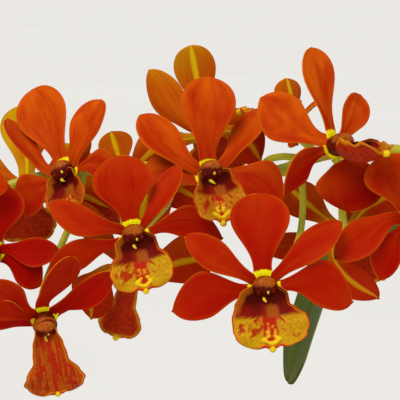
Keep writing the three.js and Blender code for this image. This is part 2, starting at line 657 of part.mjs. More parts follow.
function makeSpike() {
  const parts = [rod(SPIKE_PATH, (t) => mix(SPIKE_RADIUS, 1.3, t ** 1.5), 7, 28)];
  for (const bloom of BLOOMS) {
    const pose = bloomPose(bloom);
    const outward = vec(0, 0, 1).transformDirection(pose);
    const end = vec(0, 0, HUB_BACK).applyMatrix4(pose).addScaledVector(outward, -GAP);
    const stops = (bloom.stalk ?? []).map((stop) => vec(...stop).applyMatrix4(spray));
    parts.push(stalklet(end, outward, stops));
  }
  for (const bud of BUDS) {
    const outward = vec(...bud.toward).normalize().transformDirection(spray);
    const end = vec(...bud.at).applyMatrix4(spray).addScaledVector(outward, -GAP);
    parts.push(stalklet(end, outward));
  }
  return join(parts);
}

function makeBud(bud) {
  const outward = vec(...bud.toward).normalize().transformDirection(spray);
  const foot = vec(...bud.at).applyMatrix4(spray);
  const shape = [[0, 0.3], [0.25, 0.82], [0.5, 1], [0.78, 0.8], [1, 0.2]];
  return rod([foot, foot.clone().addScaledVector(outward, bud.length)],
    (t) => through(shape, t) * bud.radius, 8, 5, false);
}

// Assembly
const group = new THREE.Group();
group.name = 'potted_foxtail_orchid';

function add(name, solid, colour, roughness) {
  const data = solid.getMesh();
  const geometry = new THREE.BufferGeometry();
  geometry.setAttribute('position', new THREE.BufferAttribute(Float32Array.from(data.vertProperties), 3));
  geometry.setIndex(new THREE.BufferAttribute(Uint32Array.from(data.triVerts), 1));
  const material = new THREE.MeshStandardMaterial({ color: colour, roughness, metalness: 0 });
  const mesh = new THREE.Mesh(geometry, material);
  mesh.name = name;
  group.add(mesh);
}

const number = (k) => String(k + 1).padStart(2, '0');
const stemCutter = makeStem(GAP);

add('pot', makePot(), '#a9583a', 0.85);
add('bark', makeBark([stemCutter, ...ROOT_PATHS.slice(0, 3).map((path) => makeRoot(path, GAP))]),
  '#5f3f28', 0.9);
add('stem', makeStem(), '#5c6a2c', 0.7);
ROOT_PATHS.forEach((path, k) => {
  add(`root_${k + 1}`, makeRoot(path).subtract(stemCutter), '#98a28a', 0.75);
});
LEAVES.forEach((leaf, k) => {
  add(`leaf_${k + 1}`, makeLeaf(leaf, stemCutter), '#3d4f17', 0.5);
});
add('flower_spike', makeSpike(), '#a3a82c', 0.55);
BLOOMS.forEach((bloom, k) => {
  add(`bloom_${number(k)}_tepals`, makeTepals(bloom), '#b3200a', 0.5);
  add(`bloom_${number(k)}_lip`, makeLip(bloom), '#b8860f', 0.5);
});
BUDS.forEach((bud, k) => {
  add(`bud_${k + 1}`, makeBud(bud), '#b4551a', 0.5);
});

export default group;
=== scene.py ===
"""Potted foxtail orchid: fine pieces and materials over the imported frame.

Every table here is in millimetres and degrees, in the frame's own axes, and points turn into metres
when a piece is made.
"""
import itertools
import math

import bpy
import numpy as np
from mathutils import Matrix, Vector


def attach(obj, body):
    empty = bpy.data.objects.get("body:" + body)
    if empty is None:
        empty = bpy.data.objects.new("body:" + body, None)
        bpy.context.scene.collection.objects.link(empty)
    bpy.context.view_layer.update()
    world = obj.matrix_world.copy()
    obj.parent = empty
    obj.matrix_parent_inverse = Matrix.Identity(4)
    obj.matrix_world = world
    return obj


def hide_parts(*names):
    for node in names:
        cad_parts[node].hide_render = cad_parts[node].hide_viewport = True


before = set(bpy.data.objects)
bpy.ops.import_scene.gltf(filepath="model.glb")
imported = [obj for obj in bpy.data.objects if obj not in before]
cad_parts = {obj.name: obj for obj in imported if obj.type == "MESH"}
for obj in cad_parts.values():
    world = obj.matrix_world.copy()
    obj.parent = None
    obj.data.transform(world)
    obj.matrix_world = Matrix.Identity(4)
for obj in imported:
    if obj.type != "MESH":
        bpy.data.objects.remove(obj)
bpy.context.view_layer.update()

MM = 0.001


# Small maths

def rad(degrees):
    return np.asarray(degrees, float) * math.pi / 180


def mix(a, b, t):
    return a + (b - a) * t


def smooth(x):
    t = np.clip(x, 0.0, 1.0)
    return t * t * (3 - 2 * t)


def through(pairs, t):
    """Smooth value through (place, value) pairs."""
    t = np.asarray(t, float)
    out = np.full(t.shape, float(pairs[0][1]))
    for (a, before), (b, after) in zip(pairs, pairs[1:]):
        out = np.where(t > a, mix(before, after, smooth((t - a) / (b - a))), out)
    return out


def unit(v):
    return v / np.maximum(np.linalg.norm(v, axis=-1, keepdims=True), 1e-12)


def bell(x, width):
    return np.exp(-(np.asarray(x, float) / width) ** 2)


def circle(sides):
    """Angles at even steps around a ring."""
    return 2 * math.pi * np.arange(sides) / sides


def along_steps(count):
    """Shares from 0 to 1 as a column."""
    return np.linspace(0, 1, count)[:, None]


def across_steps(count):
    """Places from -1 to 1 as a row."""
    return np.linspace(-1, 1, count)[None, :]


def stack(*parts):
    """Vectors from arrays and numbers, one for each part of a vector."""
    return np.stack(np.broadcast_arrays(*parts), -1)


def about(axis, angle):
    """The matrix of a turn about axis 0, 1 or 2 by an angle in radians."""
    i, j = (axis + 1) % 3, (axis + 2) % 3
    matrix = np.eye(3)
    matrix[i, i] = matrix[j, j] = math.cos(angle)
    matrix[i, j], matrix[j, i] = -math.sin(angle), math.sin(angle)
    return matrix


def trace(start, heading, length, steps, t, middle=0.5):
    """Points at the shares t of a curve that leaves start and follows the heading at each share."""
    fine = (np.arange(steps) + middle) / steps
    line = np.vstack([start, start + np.cumsum(heading(fine) * length / steps, axis=0)])
    return stack(*(np.interp(t, np.linspace(0, 1, steps + 1), line[:, i]) for i in range(3)))


def folded(half, fold, u):
    """How far a blade's points lie across and up when its width is bent into an arc."""
    radius = half / (fold / 2)
    return radius * np.sin(u * fold / 2), radius * (1 - np.cos(u * fold / 2))


def route(points, steps):
    """Points at even steps along a centripetal Catmull-Rom curve."""
    p = np.array(points, float)
    p = np.vstack([2 * p[0] - p[1], p, 2 * p[-1] - p[-2]])
    spans = []
    t = np.linspace(0, 1, 64, endpoint=False)[:, None]
    for k in range(1, len(p) - 2):
        d0, d1, d2 = (math.sqrt(np.linalg.norm(p[k + i] - p[k + i - 1])) for i in (0, 1, 2))
        out = ((p[k] - p[k - 1]) / d0 - (p[k + 1] - p[k - 1]) / (d0 + d1) + (p[k + 1] - p[k]) / d1) * d1
        into = ((p[k + 1] - p[k]) / d1 - (p[k + 2] - p[k]) / (d1 + d2) + (p[k + 2] - p[k + 1]) / d2) * d1
        spans.append(p[k] + out * t + (3 * (p[k + 1] - p[k]) - 2 * out - into) * t ** 2
                     + (2 * (p[k] - p[k + 1]) + out + into) * t ** 3)
    dense = np.vstack(spans + [p[-2][None]])
    run = np.concatenate([[0], np.cumsum(np.linalg.norm(np.diff(dense, axis=0), axis=1))])
    at = np.linspace(0, run[-1], steps + 1)
    return stack(*(np.interp(at, run, dense[:, i]) for i in range(3)))


def chance(seed):
    return np.random.RandomState(seed)


# Meshes

class Build:
    """Gathers the parts of one piece: points in millimetres, faces, and two vectors at each point."""

    def __init__(self):
        self.points, self.faces, self.slots = [], [], []
        self.place, self.trait = [], []
        self.count = 0

    def add(self, points, faces, place=(0, 0, 0), trait=(0, 0, 0), slot=0):
        points = np.asarray(points, float).reshape(-1, 3)
        shape = points.shape
        self.points.append(points)
        self.place.append(np.broadcast_to(np.asarray(place, float), shape))
        self.trait.append(np.broadcast_to(np.asarray(trait, float), shape))
        for block in faces:
            self.faces += (np.asarray(block) + self.count).tolist()
            self.slots += [slot] * len(block)
        self.count += len(points)

    def make(self, name, node, looks, turn=np.eye(3), shift=0, size=1):
        points = (np.vstack(self.points) * size) @ turn.T + shift
        mesh = bpy.data.meshes.new(name)
        mesh.from_pydata((points * MM).tolist(), [], self.faces)
        for look in looks:
            mesh.materials.append(look)
        mesh.polygons.foreach_set("material_index", self.slots)
        mesh.polygons.foreach_set("use_smooth", [True] * len(self.faces))
        for label, values in (("place", self.place), ("trait", self.trait)):
            attribute = mesh.attributes.new(label, "FLOAT_VECTOR", "POINT")
            attribute.data.foreach_set("vector", np.vstack(values).astype(np.float32).ravel())
        mesh.update()
        piece = bpy.data.objects.new(name, mesh)
        bpy.context.scene.collection.objects.link(piece)
        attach(piece, "root")
        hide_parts(node)
        return piece


def ring_faces(rings, sides):
    """Walls between rings of points, and the two ends, each a fan to one of two last points."""
    index = np.arange(rings * sides).reshape(rings, sides)
    following = np.roll(index, -1, axis=1)
    walls = stack(index[:-1], following[:-1], following[1:], index[1:]).reshape(-1, 4)
    foot = stack(rings * sides, following[0], index[0])
    head = stack(rings * sides + 1, index[-1], following[-1])
    return [walls, foot, head]


def sheet(grid, thickness):
    """Front and back points of a blade over a grid, the way its front faces, and its faces."""
    rows, columns, _ = grid.shape
    normal = unit(np.cross(np.gradient(grid, axis=1), np.gradient(grid, axis=0)))
    half = np.broadcast_to(thickness, (rows, columns))[..., None] / 2
    front, back = (grid + normal * half).reshape(-1, 3), (grid - normal * half).reshape(-1, 3)
    total = rows * columns
    index = np.arange(total).reshape(rows, columns)
    quads = stack(index[:-1, :-1], index[:-1, 1:], index[1:, 1:], index[1:, :-1]).reshape(-1, 4)
    loop = np.concatenate([index[0, :-1], index[:-1, -1], index[-1, :0:-1], index[:0:-1, 0]])
    after = np.roll(loop, -1)
    rim = stack(after, loop, loop + total, after + total)
    return np.vstack([front, back]), normal.reshape(-1, 3), [quads, quads[:, ::-1] + total, rim]


def both_sides(u, v):
    """(u, v, side) for the points of a sheet: side is 1 on the front and -1 on the back."""
    return np.vstack([stack(u, v, side).reshape(-1, 3) for side in (1.0, -1.0)])


def tube(path, radius, sides):
    """A closed round rod along points; radius is one number a ring, or one for each point of a ring."""
    path = np.asarray(path, float)
    count = len(path)
    radius = np.broadcast_to(np.asarray(radius, float).reshape(count, -1), (count, sides))
    heading = unit(np.gradient(path, axis=0))
    across = np.array([1.0, 0, 0]) if abs(heading[0][2]) > 0.8 else np.array([0, 0, 1.0])
    turn = circle(sides)
    rings = []
    for k in range(count):
        across = unit(across - heading[k] * np.dot(across, heading[k]))
        other = np.cross(heading[k], across)
        rings.append(path[k] + radius[k][:, None] * (np.cos(turn)[:, None] * across
                                                     + np.sin(turn)[:, None] * other))
    place = stack(np.cos(turn), np.sin(turn), along_steps(count)).reshape(-1, 3)
    return (np.vstack(rings + [path[:1], path[-1:]]), ring_faces(count, sides),
            np.vstack([place, [[0, 0, 0], [0, 0, 1]]]))


def ball(centre, radii, sides=14, rings=9):
    """An ellipsoid with its poles on z."""
    lift = np.linspace(-math.pi / 2, math.pi / 2, rings + 2)[1:-1, None]
    turn = circle(sides)
    points = stack(np.cos(lift) * np.cos(turn), np.cos(lift) * np.sin(turn), np.sin(lift)).reshape(-1, 3)
    points = np.vstack([points, [[0, 0, -1], [0, 0, 1]]])
    return points * np.asarray(radii) + np.asarray(centre), ring_faces(rings, sides)


def turned_shell(profile, sides):
    """A closed turned body about Z from (radius, height) pairs that run from axis to axis."""
    turn = circle(sides)
    rings = [stack(r * np.cos(turn), r * np.sin(turn), z) for r, z in profile[1:-1]]
    ends = [[0, 0, profile[0][1]], [0, 0, profile[-1][1]]]
    return np.vstack(rings + [ends]), ring_faces(len(rings), sides)


# Materials

class Value:
    """A number, vector or colour in a node material, so that its formulas read like sums."""

    def __init__(self, socket):
        self.socket = socket
        self.tree = socket.id_data

    def calc(self, operation, *others):
        return add_node(self.tree, "Math", (self, *others), operation=operation)

    def __abs__(self):
        return self.calc("ABSOLUTE")

    def __add__(self, other):
        return self.calc("ADD", other)

    def __sub__(self, other):
        return self.calc("SUBTRACT", other)

    def __mul__(self, other):
        return self.calc("MULTIPLY", other)

    def clamped(self):
        """Keeps the sum that this value comes from between 0 and 1."""
        self.socket.node.use_clamp = True
        return self

    def step(self, low, high, to_low=0.0, to_high=1.0):
        """Runs smoothly from to_low at low to to_high at high."""
        inputs = (self, low, high, to_low, to_high)
        return add_node(self.tree, "MapRange", inputs, interpolation_type="SMOOTHSTEP")

    def blend(self, a, b):
        """The colour a where this value is 0, and b where it is 1."""
        return add_node(self.tree, "Mix", {0: self, 6: a, 7: b}, 2, data_type="RGBA")

    def noise(self, scale, detail=3.0, rough=0.5, warp=0.0):
        inputs = {"Vector": self, "Scale": scale, "Detail": detail, "Roughness": rough, "Distortion": warp}
        return add_node(self.tree, "TexNoise", inputs)

    def split(self):
        """The three parts of a vector."""
        return [Value(part) for part in add_node(self.tree, "SeparateXYZ", (self,)).socket.node.outputs]


def put(value, socket):
    """Links a value to a socket, or writes a plain number or colour on it."""
    if isinstance(value, Value):
        socket.id_data.links.new(value.socket, socket)
    elif isinstance(value, tuple) and len(value) < len(socket.default_value):
        socket.default_value = (*value, 1.0)
    else:
        socket.default_value = value


def add_node(tree, kind, inputs, output=0, **settings):
    """Adds a shader node with its inputs by place or by name, and gives one of its outputs."""
    node = tree.nodes.new("ShaderNode" + kind)
    for name, setting in settings.items():
        setattr(node, name, setting)
    for place, value in (inputs.items() if isinstance(inputs, dict) else enumerate(inputs)):
        put(value, node.inputs[place])
    return Value(node.outputs[output])


def vector(*parts):
    tree = next(part.tree for part in parts if isinstance(part, Value))
    return add_node(tree, "CombineXYZ", parts)


class Look:
    """One node material."""

    def __init__(self, name, specular):
        self.material = bpy.data.materials.new(name)
        self.material.use_nodes = True
        self.tree = self.material.node_tree
        self.shader = self.tree.nodes["Principled BSDF"]
        self.shader.inputs["Specular IOR Level"].default_value = specular

    def attribute(self, name):
        return add_node(self.tree, "Attribute", (), "Vector", attribute_name=name).split()

    def position(self):
        return add_node(self.tree, "TexCoord", (), "Object")

    def bump(self, height, strength, distance):
        inputs = {"Strength": strength, "Distance": distance, "Height": height}
        put(add_node(self.tree, "Bump", inputs), self.shader.inputs["Normal"])

    def finish(self, colour, roughness):
        put(colour, self.shader.inputs["Base Color"])
        put(roughness, self.shader.inputs["Roughness"])
        return self.material


RED = (0.35, 0.0036, 0.0003)
DEEP_RED = (0.17, 0.0018, 0.0002)
ORANGE = (0.58, 0.085, 0.0016)
YELLOW = (0.93, 0.80, 0.006)


def petal_look():
    """place is (across, along, side); trait is (yellow at the foot, seed, orange tint with painted light
    and shade).
    """
    look = Look("petal_velvet", 0.02)
    u, v, side = look.attribute("place")
    foot, seed, tint_and_painted_light = look.attribute("trait")
    out = abs(u)
    veins = vector(u * 9.0, v * 1.4, seed).noise(1.0, 4.0, 0.6)
    cloud = vector(u * 1.1, v * 1.7, seed + 40.0).noise(1.3, 3.0, 0.5)
    fleck = vector(u * 14.0, v * 22.0, seed).noise(1.6, 2.0)
    # Painted highlight: margins and tips turn more orange, as where light shines through the thin edges;
    # the rest of the orange follows the bloom's tint and painted light.
    margin = out.step(0.78, 1.0)
    tip = v.step(0.78, 1.0)
    orange_tint_and_highlight = tint_and_painted_light * cloud.step(0.25, 0.75, 0.3, 1.35)
    orange_tint_and_highlight = orange_tint_and_highlight + margin * 0.22
    orange_tint_and_highlight = (orange_tint_and_highlight + tip * 0.12).clamped()
    front = orange_tint_and_highlight.blend(RED, ORANGE)
    # Painted shade: a bloom with a value below 0 is darkened toward deep red, as if it stood in shadow.
    front = tint_and_painted_light.step(0.0, -1.0).blend(front, DEEP_RED)
    shade = veins.step(0.52, 0.74) * 0.42
    shade = (shade + fleck.step(0.55, 0.8) * 0.14).clamped()
    front = shade.blend(front, DEEP_RED)
    edge = v + veins * 0.05
    arch = u * u * 0.02
    reach = foot * 0.045 + 0.068 - arch
    yellow = (edge - reach).step(0.014, -0.006)
    yellow = yellow * foot.step(0.05, 0.45)
    front = yellow.blend(front, YELLOW)
    midrib = (out + fleck * 0.1).step(0.26, 0.1)
    midrib = midrib * veins.step(0.2, 0.6, 0.55, 1.0)
    gold = midrib * 0.75 + v.step(0.45, 0.0) * 0.55
    gold = gold * foot.step(0.2, 0.6, 0.04, 1.0)
    gold = (gold * tint_and_painted_light.step(-0.2, 0.9, 0.45, 1.2)).clamped()
    pale = tint_and_painted_light.step(0.0, 0.6).blend((0.38, 0.018, 0.0008), (0.54, 0.11, 0.002))
    pale = tint_and_painted_light.step(0.55, 1.0).blend(pale, (0.64, 0.36, 0.004))
    deep = tint_and_painted_light.step(0.0, 0.6).blend((0.3, 0.009, 0.0005), (0.47, 0.06, 0.0015))
    deep = tint_and_painted_light.step(0.55, 1.0).blend(deep, (0.58, 0.22, 0.003))
    back = veins.step(0.4, 0.8).blend(pale, deep)
    back = gold.blend(back, (0.8, 0.6, 0.006))
    colour = side.step(-0.55, 0.35).blend(back, front)
    # Painted highlight: a light orange line along each tepal's cut edge, where the rim catches the light.
    rim = side.step(-0.97, -0.6) * side.step(0.97, 0.6)
    colour = (rim * 0.6).blend(colour, (0.72, 0.24, 0.006))
    height = veins * 0.7 + fleck * 0.3
    look.bump(height, 0.35, 0.00035)
    return look.finish(colour, fleck.step(0.3, 0.8, 0.46, 0.66))


def lip_look():
    """place is (millimetres across, millimetres along, side); trait is (yellow, bead, rim in mm)."""
    look = Look("lip_flesh", 0.05)
    x, y, side = look.attribute("place")
    yellow, bead, rim = look.attribute("trait")
    spot = vector(x, y, yellow)
    fine = spot.noise(1.5, 3.0, 0.6)
    broad = spot.noise(0.35, 2.0)
    grit = spot.noise(4.2, 2.0, 0.6)
    away = y - 6.4
    angle = x.calc("ARCTAN2", away)
    angle = angle + (broad - 0.5) * 0.55
    far = (x * x + away * away).calc("SQRT")
    ray = vector(angle * 5.5, far * 0.16, yellow).noise(1.0, 2.0)
    thin = vector(angle * 13.0, far * 0.28, 7.0).noise(1.0, 2.0)
    streak = (ray + far.step(3.0, 12.0, 0.05, -0.04)).step(0.54, 0.6)
    reach = far.step(11.5, 7.0).calc("MAXIMUM", yellow.step(0.4, 0.15))
    thinner = thin.step(0.56, 0.61) * reach
    streak = streak.calc("MAXIMUM", thinner * 0.8)
    rows = vector(x * 1.5, y * 0.12, 3.0).noise(1.0, 2.0)
    rows = rows.step(0.5, 0.58) * yellow.step(0.4, 0.15)
    streak = streak.calc("MAXIMUM", rows)
    streak = streak * rim.step(0.7, 2.2, 0.15, 1.0)
    gold = fine.step(0.3, 0.7).blend((0.53, 0.32, 0.003), (0.43, 0.2, 0.003))
    gold = (grit.step(0.56, 0.72) * 0.6).blend(gold, (0.44, 0.08, 0.002))
    plain = fine.step(0.3, 0.7).blend((0.42, 0.07, 0.003), (0.31, 0.024, 0.0015))
    lobe = yellow.blend(plain, gold)
    front = (streak * 0.92).blend(lobe, (0.36, 0.01, 0.001))
    off = abs(x)
    strip = off + (fine - 0.5) * 2.6
    strip = strip + yellow.step(0.2, 0.9, 1.6, 0.0)
    front = strip.step(2.5, 1.5).blend(front, (0.4, 0.011, 0.001))
    neck = y + (fine - 0.5) * 1.8
    neck = neck + off * -0.1
    # Painted shade in the throat: toward the column the neck darkens to a deep red and then to near black.
    throat = broad.step(0.35, 0.65).blend((0.24, 0.006, 0.001), (0.15, 0.004, 0.001))
    front = neck.step(10.4, 8.8).blend(front, throat)
    front = neck.step(8.2, 4.6).blend(front, (0.06, 0.0022, 0.0008))
    # Painted highlight: an orange-brown glossy spot on the neck, just right of the middle.
    glow = abs(x - 1.0)
    painted_gloss_patch = glow.step(2.3, 0.9) * (neck.step(5.6, 7.2) * neck.step(10.6, 9.4))
    front = (painted_gloss_patch * 0.75).blend(front, (0.34, 0.085, 0.006))
    left_wall = rim.step(2.6, 1.2) * x.step(-2.0, -4.5)
    left_wall = left_wall * (y.step(2.0, 4.0) * y.step(10.5, 8.5))
    front = left_wall.blend(front, (0.36, 0.075, 0.003))
    front = bead.blend(front, y.step(13.2, 14.8).blend((0.62, 0.2, 0.01), (0.74, 0.5, 0.008)))
    line = rim.step(0.85, 0.6) * rim.step(0.2, 0.4)
    line = line * y.step(7.0, 10.0, 0.25, 0.75)
    front = line.blend(front, (0.62, 0.2, 0.003))
    border = rim.step(0.38, 0.2) * y.step(6.0, 10.0, 0.15, 1.0)
    front = border.blend(front, (0.46, 0.035, 0.002))
    back = fine.step(0.35, 0.65).blend((0.42, 0.03, 0.0012), (0.34, 0.01, 0.0008))
    back = (rim.step(1.6, 0.3) * 0.8).blend(back, (0.66, 0.26, 0.004))
    colour = side.step(-0.5, 0.4).blend(back, front)
    look.bump(fine + streak * -0.35, 0.4, 0.0004)
    return look.finish(colour, fine.step(0.3, 0.8, 0.42, 0.6))


def column_look():
    """trait.x is 0 on the column, 1 on its cap and 2 on its pale beak."""
    look = Look("column_wax", 0.07)
    kind, _, _ = look.attribute("trait")
    fine = look.position().noise(1400.0, 3.0, 0.6)
    body = fine.step(0.35, 0.7).blend((0.14, 0.007, 0.0015), (0.07, 0.003, 0.001))
    cap = fine.step(0.35, 0.7).blend((0.42, 0.105, 0.006), (0.27, 0.04, 0.003))
    colour = kind.step(0.3, 0.95).blend(body, cap)
    colour = kind.step(1.3, 1.9).blend(colour, (0.74, 0.56, 0.03))
    look.bump(fine, 0.3, 0.0002)
    return look.finish(colour, fine.step(0.3, 0.8, 0.4, 0.56))


def stalk_look():
    """trait.x runs from green at 0 through yellow at 1 to orange at 2."""
    look = Look("stalk_skin", 0.35)
    hue, _, _ = look.attribute("trait")
    where = look.position()
    fine = where.noise(900.0, 4.0, 0.6)
    broad = where.noise(120.0, 2.0)
    tone = hue + (broad - 0.5) * 0.9
    colour = tone.step(0.1, 0.95).blend((0.16, 0.22, 0.012), (0.58, 0.54, 0.014))
    colour = tone.step(1.1, 2.0).blend(colour, (0.62, 0.22, 0.008))
    colour = (fine.step(0.6, 0.8) * 0.4).blend(colour, (0.3, 0.07, 0.006))
    look.bump(fine, 0.3, 0.0003)
    return look.finish(colour, fine.step(0.3, 0.8, 0.34, 0.52))


def bud_look():
    look = Look("bud_skin", 0.3)
    _, _, along = look.attribute("place")
    fine = look.position().noise(800.0, 4.0, 0.6)
    tone = along + (fine - 0.5) * 0.5
    colour = tone.step(0.05, 0.55).blend((0.56, 0.46, 0.014), (0.6, 0.13, 0.004))
    colour = tone.step(0.5, 1.0).blend(colour, (0.46, 0.03, 0.002))
    look.bump(fine, 0.3, 0.0003)
    return look.finish(colour, fine.step(0.3, 0.8, 0.36, 0.56))


def leaf_look():
    """place is (across, along, side); trait is (age, seed, 0)."""
    look = Look("leaf_leather", 0.12)
    u, v, side = look.attribute("place")
    age, seed, _ = look.attribute("trait")
    out = abs(u)
    lines = vector(u * 22.0, v * 1.2, seed).noise(1.0, 3.0, 0.6)
    cloud = vector(u * 1.0, v * 7.0, seed).noise(1.0, 4.0, 0.55)
    fleck = vector(u * 9.0, v * 60.0, seed).noise(1.0, 2.0)
    green = lines.step(0.35, 0.7).blend((0.036, 0.056, 0.003), (0.06, 0.084, 0.004))
    green = (cloud.step(0.45, 0.75) * 0.55).blend(green, (0.105, 0.118, 0.006))
    foot = v.step(0.16, 0.0)
    green = (foot * 0.7).blend(green, (0.2, 0.23, 0.03))
    under = lines.step(0.35, 0.7).blend((0.08, 0.108, 0.01), (0.115, 0.14, 0.015))
    colour = side.step(-0.5, 0.5).blend(under, green)
    colour = (out.step(0.94, 1.0) * 0.5).blend(colour, (0.22, 0.24, 0.03))
    worn = fleck.step(0.68, 0.76) * cloud.step(0.5, 0.7)
    colour = (worn * 0.7).blend(colour, (0.19, 0.13, 0.04))
    dry = v + (cloud - 0.5) * 0.06
    dry = dry.step(0.965, 0.995) * age
    colour = dry.blend(colour, (0.26, 0.17, 0.06))
    height = lines * 0.7 + cloud * 0.3
    look.bump(height, 0.4, 0.0005)
    look.shader.inputs["Coat Weight"].default_value = 0.03
    look.shader.inputs["Coat Roughness"].default_value = 0.35
    return look.finish(colour, cloud.step(0.3, 0.7, 0.34, 0.5))


def stem_look():
    look = Look("stem_sheaths", 0.25)
    edge, dry, _ = look.attribute("trait")
    where = look.position()
    fine = where.noise(500.0, 4.0, 0.65)
    x, y, z = look.attribute("place")
    lines = vector(x * 9.0, y * 9.0, z * 0.5).noise(1.0, 3.0)
    green = lines.step(0.35, 0.7).blend((0.11, 0.15, 0.016), (0.18, 0.21, 0.03))
    brown = lines.step(0.35, 0.7).blend((0.2, 0.135, 0.065), (0.34, 0.25, 0.135))
    colour = (dry + fine * 0.3).step(0.45, 0.85).blend(green, brown)
    colour = (edge * 0.6).blend(colour, (0.26, 0.18, 0.08))
    look.bump(fine + lines, 0.5, 0.0006)
    return look.finish(colour, fine.step(0.3, 0.8, 0.5, 0.75))


def root_look():
    """trait.x is 1 on a growing tip."""
    look = Look("root_velamen", 0.2)
    fresh, _, _ = look.attribute("trait")
    where = look.position()
    fine = where.noise(1500.0, 4.0, 0.7)
    broad = where.noise(160.0, 3.0, 0.6)
    silver = fine.step(0.3, 0.75).blend((0.5, 0.53, 0.44), (0.33, 0.37, 0.26))
    colour = (broad.step(0.5, 0.75) * 0.75).blend(silver, (0.2, 0.26, 0.1))
    colour = (broad.step(0.42, 0.25) * 0.5).blend(colour, (0.34, 0.25, 0.14))
    colour = fresh.blend(colour, (0.24, 0.36, 0.06))
    look.bump(fine + broad, 0.5, 0.0005)
    return look.finish(colour, fresh.step(0.0, 1.0, 0.78, 0.4))


def bark_look():
    """place is the point inside its own chip; trait is (tone, seed, 0)."""
    look = Look("bark_chips", 0.15)
    x, y, z = look.attribute("place")
    tone, seed, _ = look.attribute("trait")
    grain = vector(x * 0.5, y * 2.6, z * 3.2 + seed).noise(0.9, 5.0, 0.65)
    fine = vector(x, y, z + seed).noise(2.6, 4.0, 0.7)
    dark = fine.step(0.3, 0.7).blend((0.045, 0.022, 0.012), (0.115, 0.058, 0.03))
    pale = fine.step(0.3, 0.7).blend((0.17, 0.085, 0.042), (0.33, 0.195, 0.105))
    mixed = (tone * 0.8 + (grain - 0.45)).clamped()
    colour = mixed.blend(dark, pale)
    dust = fine.step(0.62, 0.78) * 0.35
    colour = dust.blend(colour, (0.42, 0.34, 0.25))
    look.bump(grain * 1.2 + fine, 0.9, 0.0012)
    return look.finish(colour, fine.step(0.3, 0.8, 0.75, 0.95))


def pot_look():
    """Fired earthenware with a pale bloom of salts at the foot and under the rim."""
    look = Look("terracotta_clay", 0.2)
    where = look.position()
    _, _, z = where.split()
    cloud = where.noise(22.0, 4.0, 0.6, 0.6)
    grain = where.noise(700.0, 4.0, 0.7)
    speck = where.noise(380.0, 2.0, 0.5)
    rings = vector(0.0, 0.0, z * 420.0).noise(1.0, 3.0, 0.6)
    clay = cloud.step(0.3, 0.7).blend((0.37, 0.115, 0.05), (0.5, 0.185, 0.085))
    clay = (rings.step(0.45, 0.7) * 0.28).blend(clay, (0.56, 0.24, 0.125))
    clay = (speck.step(0.64, 0.72) * 0.5).blend(clay, (0.24, 0.075, 0.035))
    tide = where.noise(55.0, 5.0, 0.7, 0.4)
    low = (z + (tide - 0.5) * 0.06).step(0.03, 0.004)
    high = (z + (tide - 0.5) * 0.03).step(0.082, 0.094)
    bloom = (low + high * 0.5).clamped() * tide.step(0.42, 0.66)
    clay = (bloom * 0.62).blend(clay, (0.66, 0.56, 0.47))
    damp = cloud.step(0.56, 0.72) * z.step(0.075, 0.03)
    clay = (damp * 0.35).blend(clay, (0.2, 0.075, 0.035))
    height = grain * 0.5 + rings * 0.6
    look.bump(height, 0.5, 0.0006)
    return look.finish(clay, grain.step(0.3, 0.8, 0.72, 0.92))


def floor_look():
    look = Look("pale_floor", 0.2)
    faint = look.position().noise(1.5, 2.0)
    return look.finish(faint.step(0.3, 0.7).blend((0.78, 0.775, 0.76), (0.8, 0.795, 0.78)), 0.7)


PETAL = petal_look()
LIP_LOOK = lip_look()
COLUMN = column_look()
STALK = stalk_look()
BUD = bud_look()
LEAF = leaf_look()
STEM = stem_look()
ROOT = root_look()
BARK = bark_look()
POT = pot_look()


# The flowers

TEPAL_START = 2.6
HUB_BACK = -2.2
SPRAY_ORIGIN = np.array([-110.0, -110.0, 340.0])

SIDE_PETAL = dict(length=22.5, width=8.5, lift=16, curl=30, bend=0, cup=0.16, claw=0.34, neck=0.06,
                  widest=0.62, tip=1.8, sharp=0.62, foot=0.0, point=0.2)
SIDE_SEPAL = dict(length=23, width=12.5, lift=8, curl=22, bend=0, cup=0.08, claw=0.27, neck=0.08,
                  widest=0.6, tip=1.8, sharp=0.66, point=0.5)
TEPALS = {
    "dorsal": dict(angle=0, length=23.5, width=16, lift=14, curl=26, bend=0, turn=0, cup=0.1, bulge=0,
                   claw=0.31, neck=0.1, widest=0.71, tip=2.0, sharp=0.5, foot=1.0, point=0.15),
    "petal_left": dict(SIDE_PETAL, angle=-52, turn=-10, bulge=-0.1),
    "petal_right": dict(SIDE_PETAL, angle=52, turn=10, bulge=0.1),
    "sepal_left": dict(SIDE_SEPAL, angle=-102, turn=8, bulge=0.18, foot=0.75),
    "sepal_right": dict(SIDE_SEPAL, angle=102, turn=-8, bulge=-0.22, foot=0.7),
}
LIP = dict(
    drop=(36, 76), length=18.4, yellow=1.0, pattern=0, beads=1,
    half=((0, 2.4), (0.13, 5.5), (0.3, 6.8), (0.42, 6.4), (0.5, 7.9), (0.6, 10), (0.72, 10.4), (0.82, 9.5)),
    left=None,
    fold=(190, 200, 132, 96, 60, 34, 16),
)
FOLD_PLACES = (0, 0.15, 0.3, 0.45, 0.6, 0.8, 1)
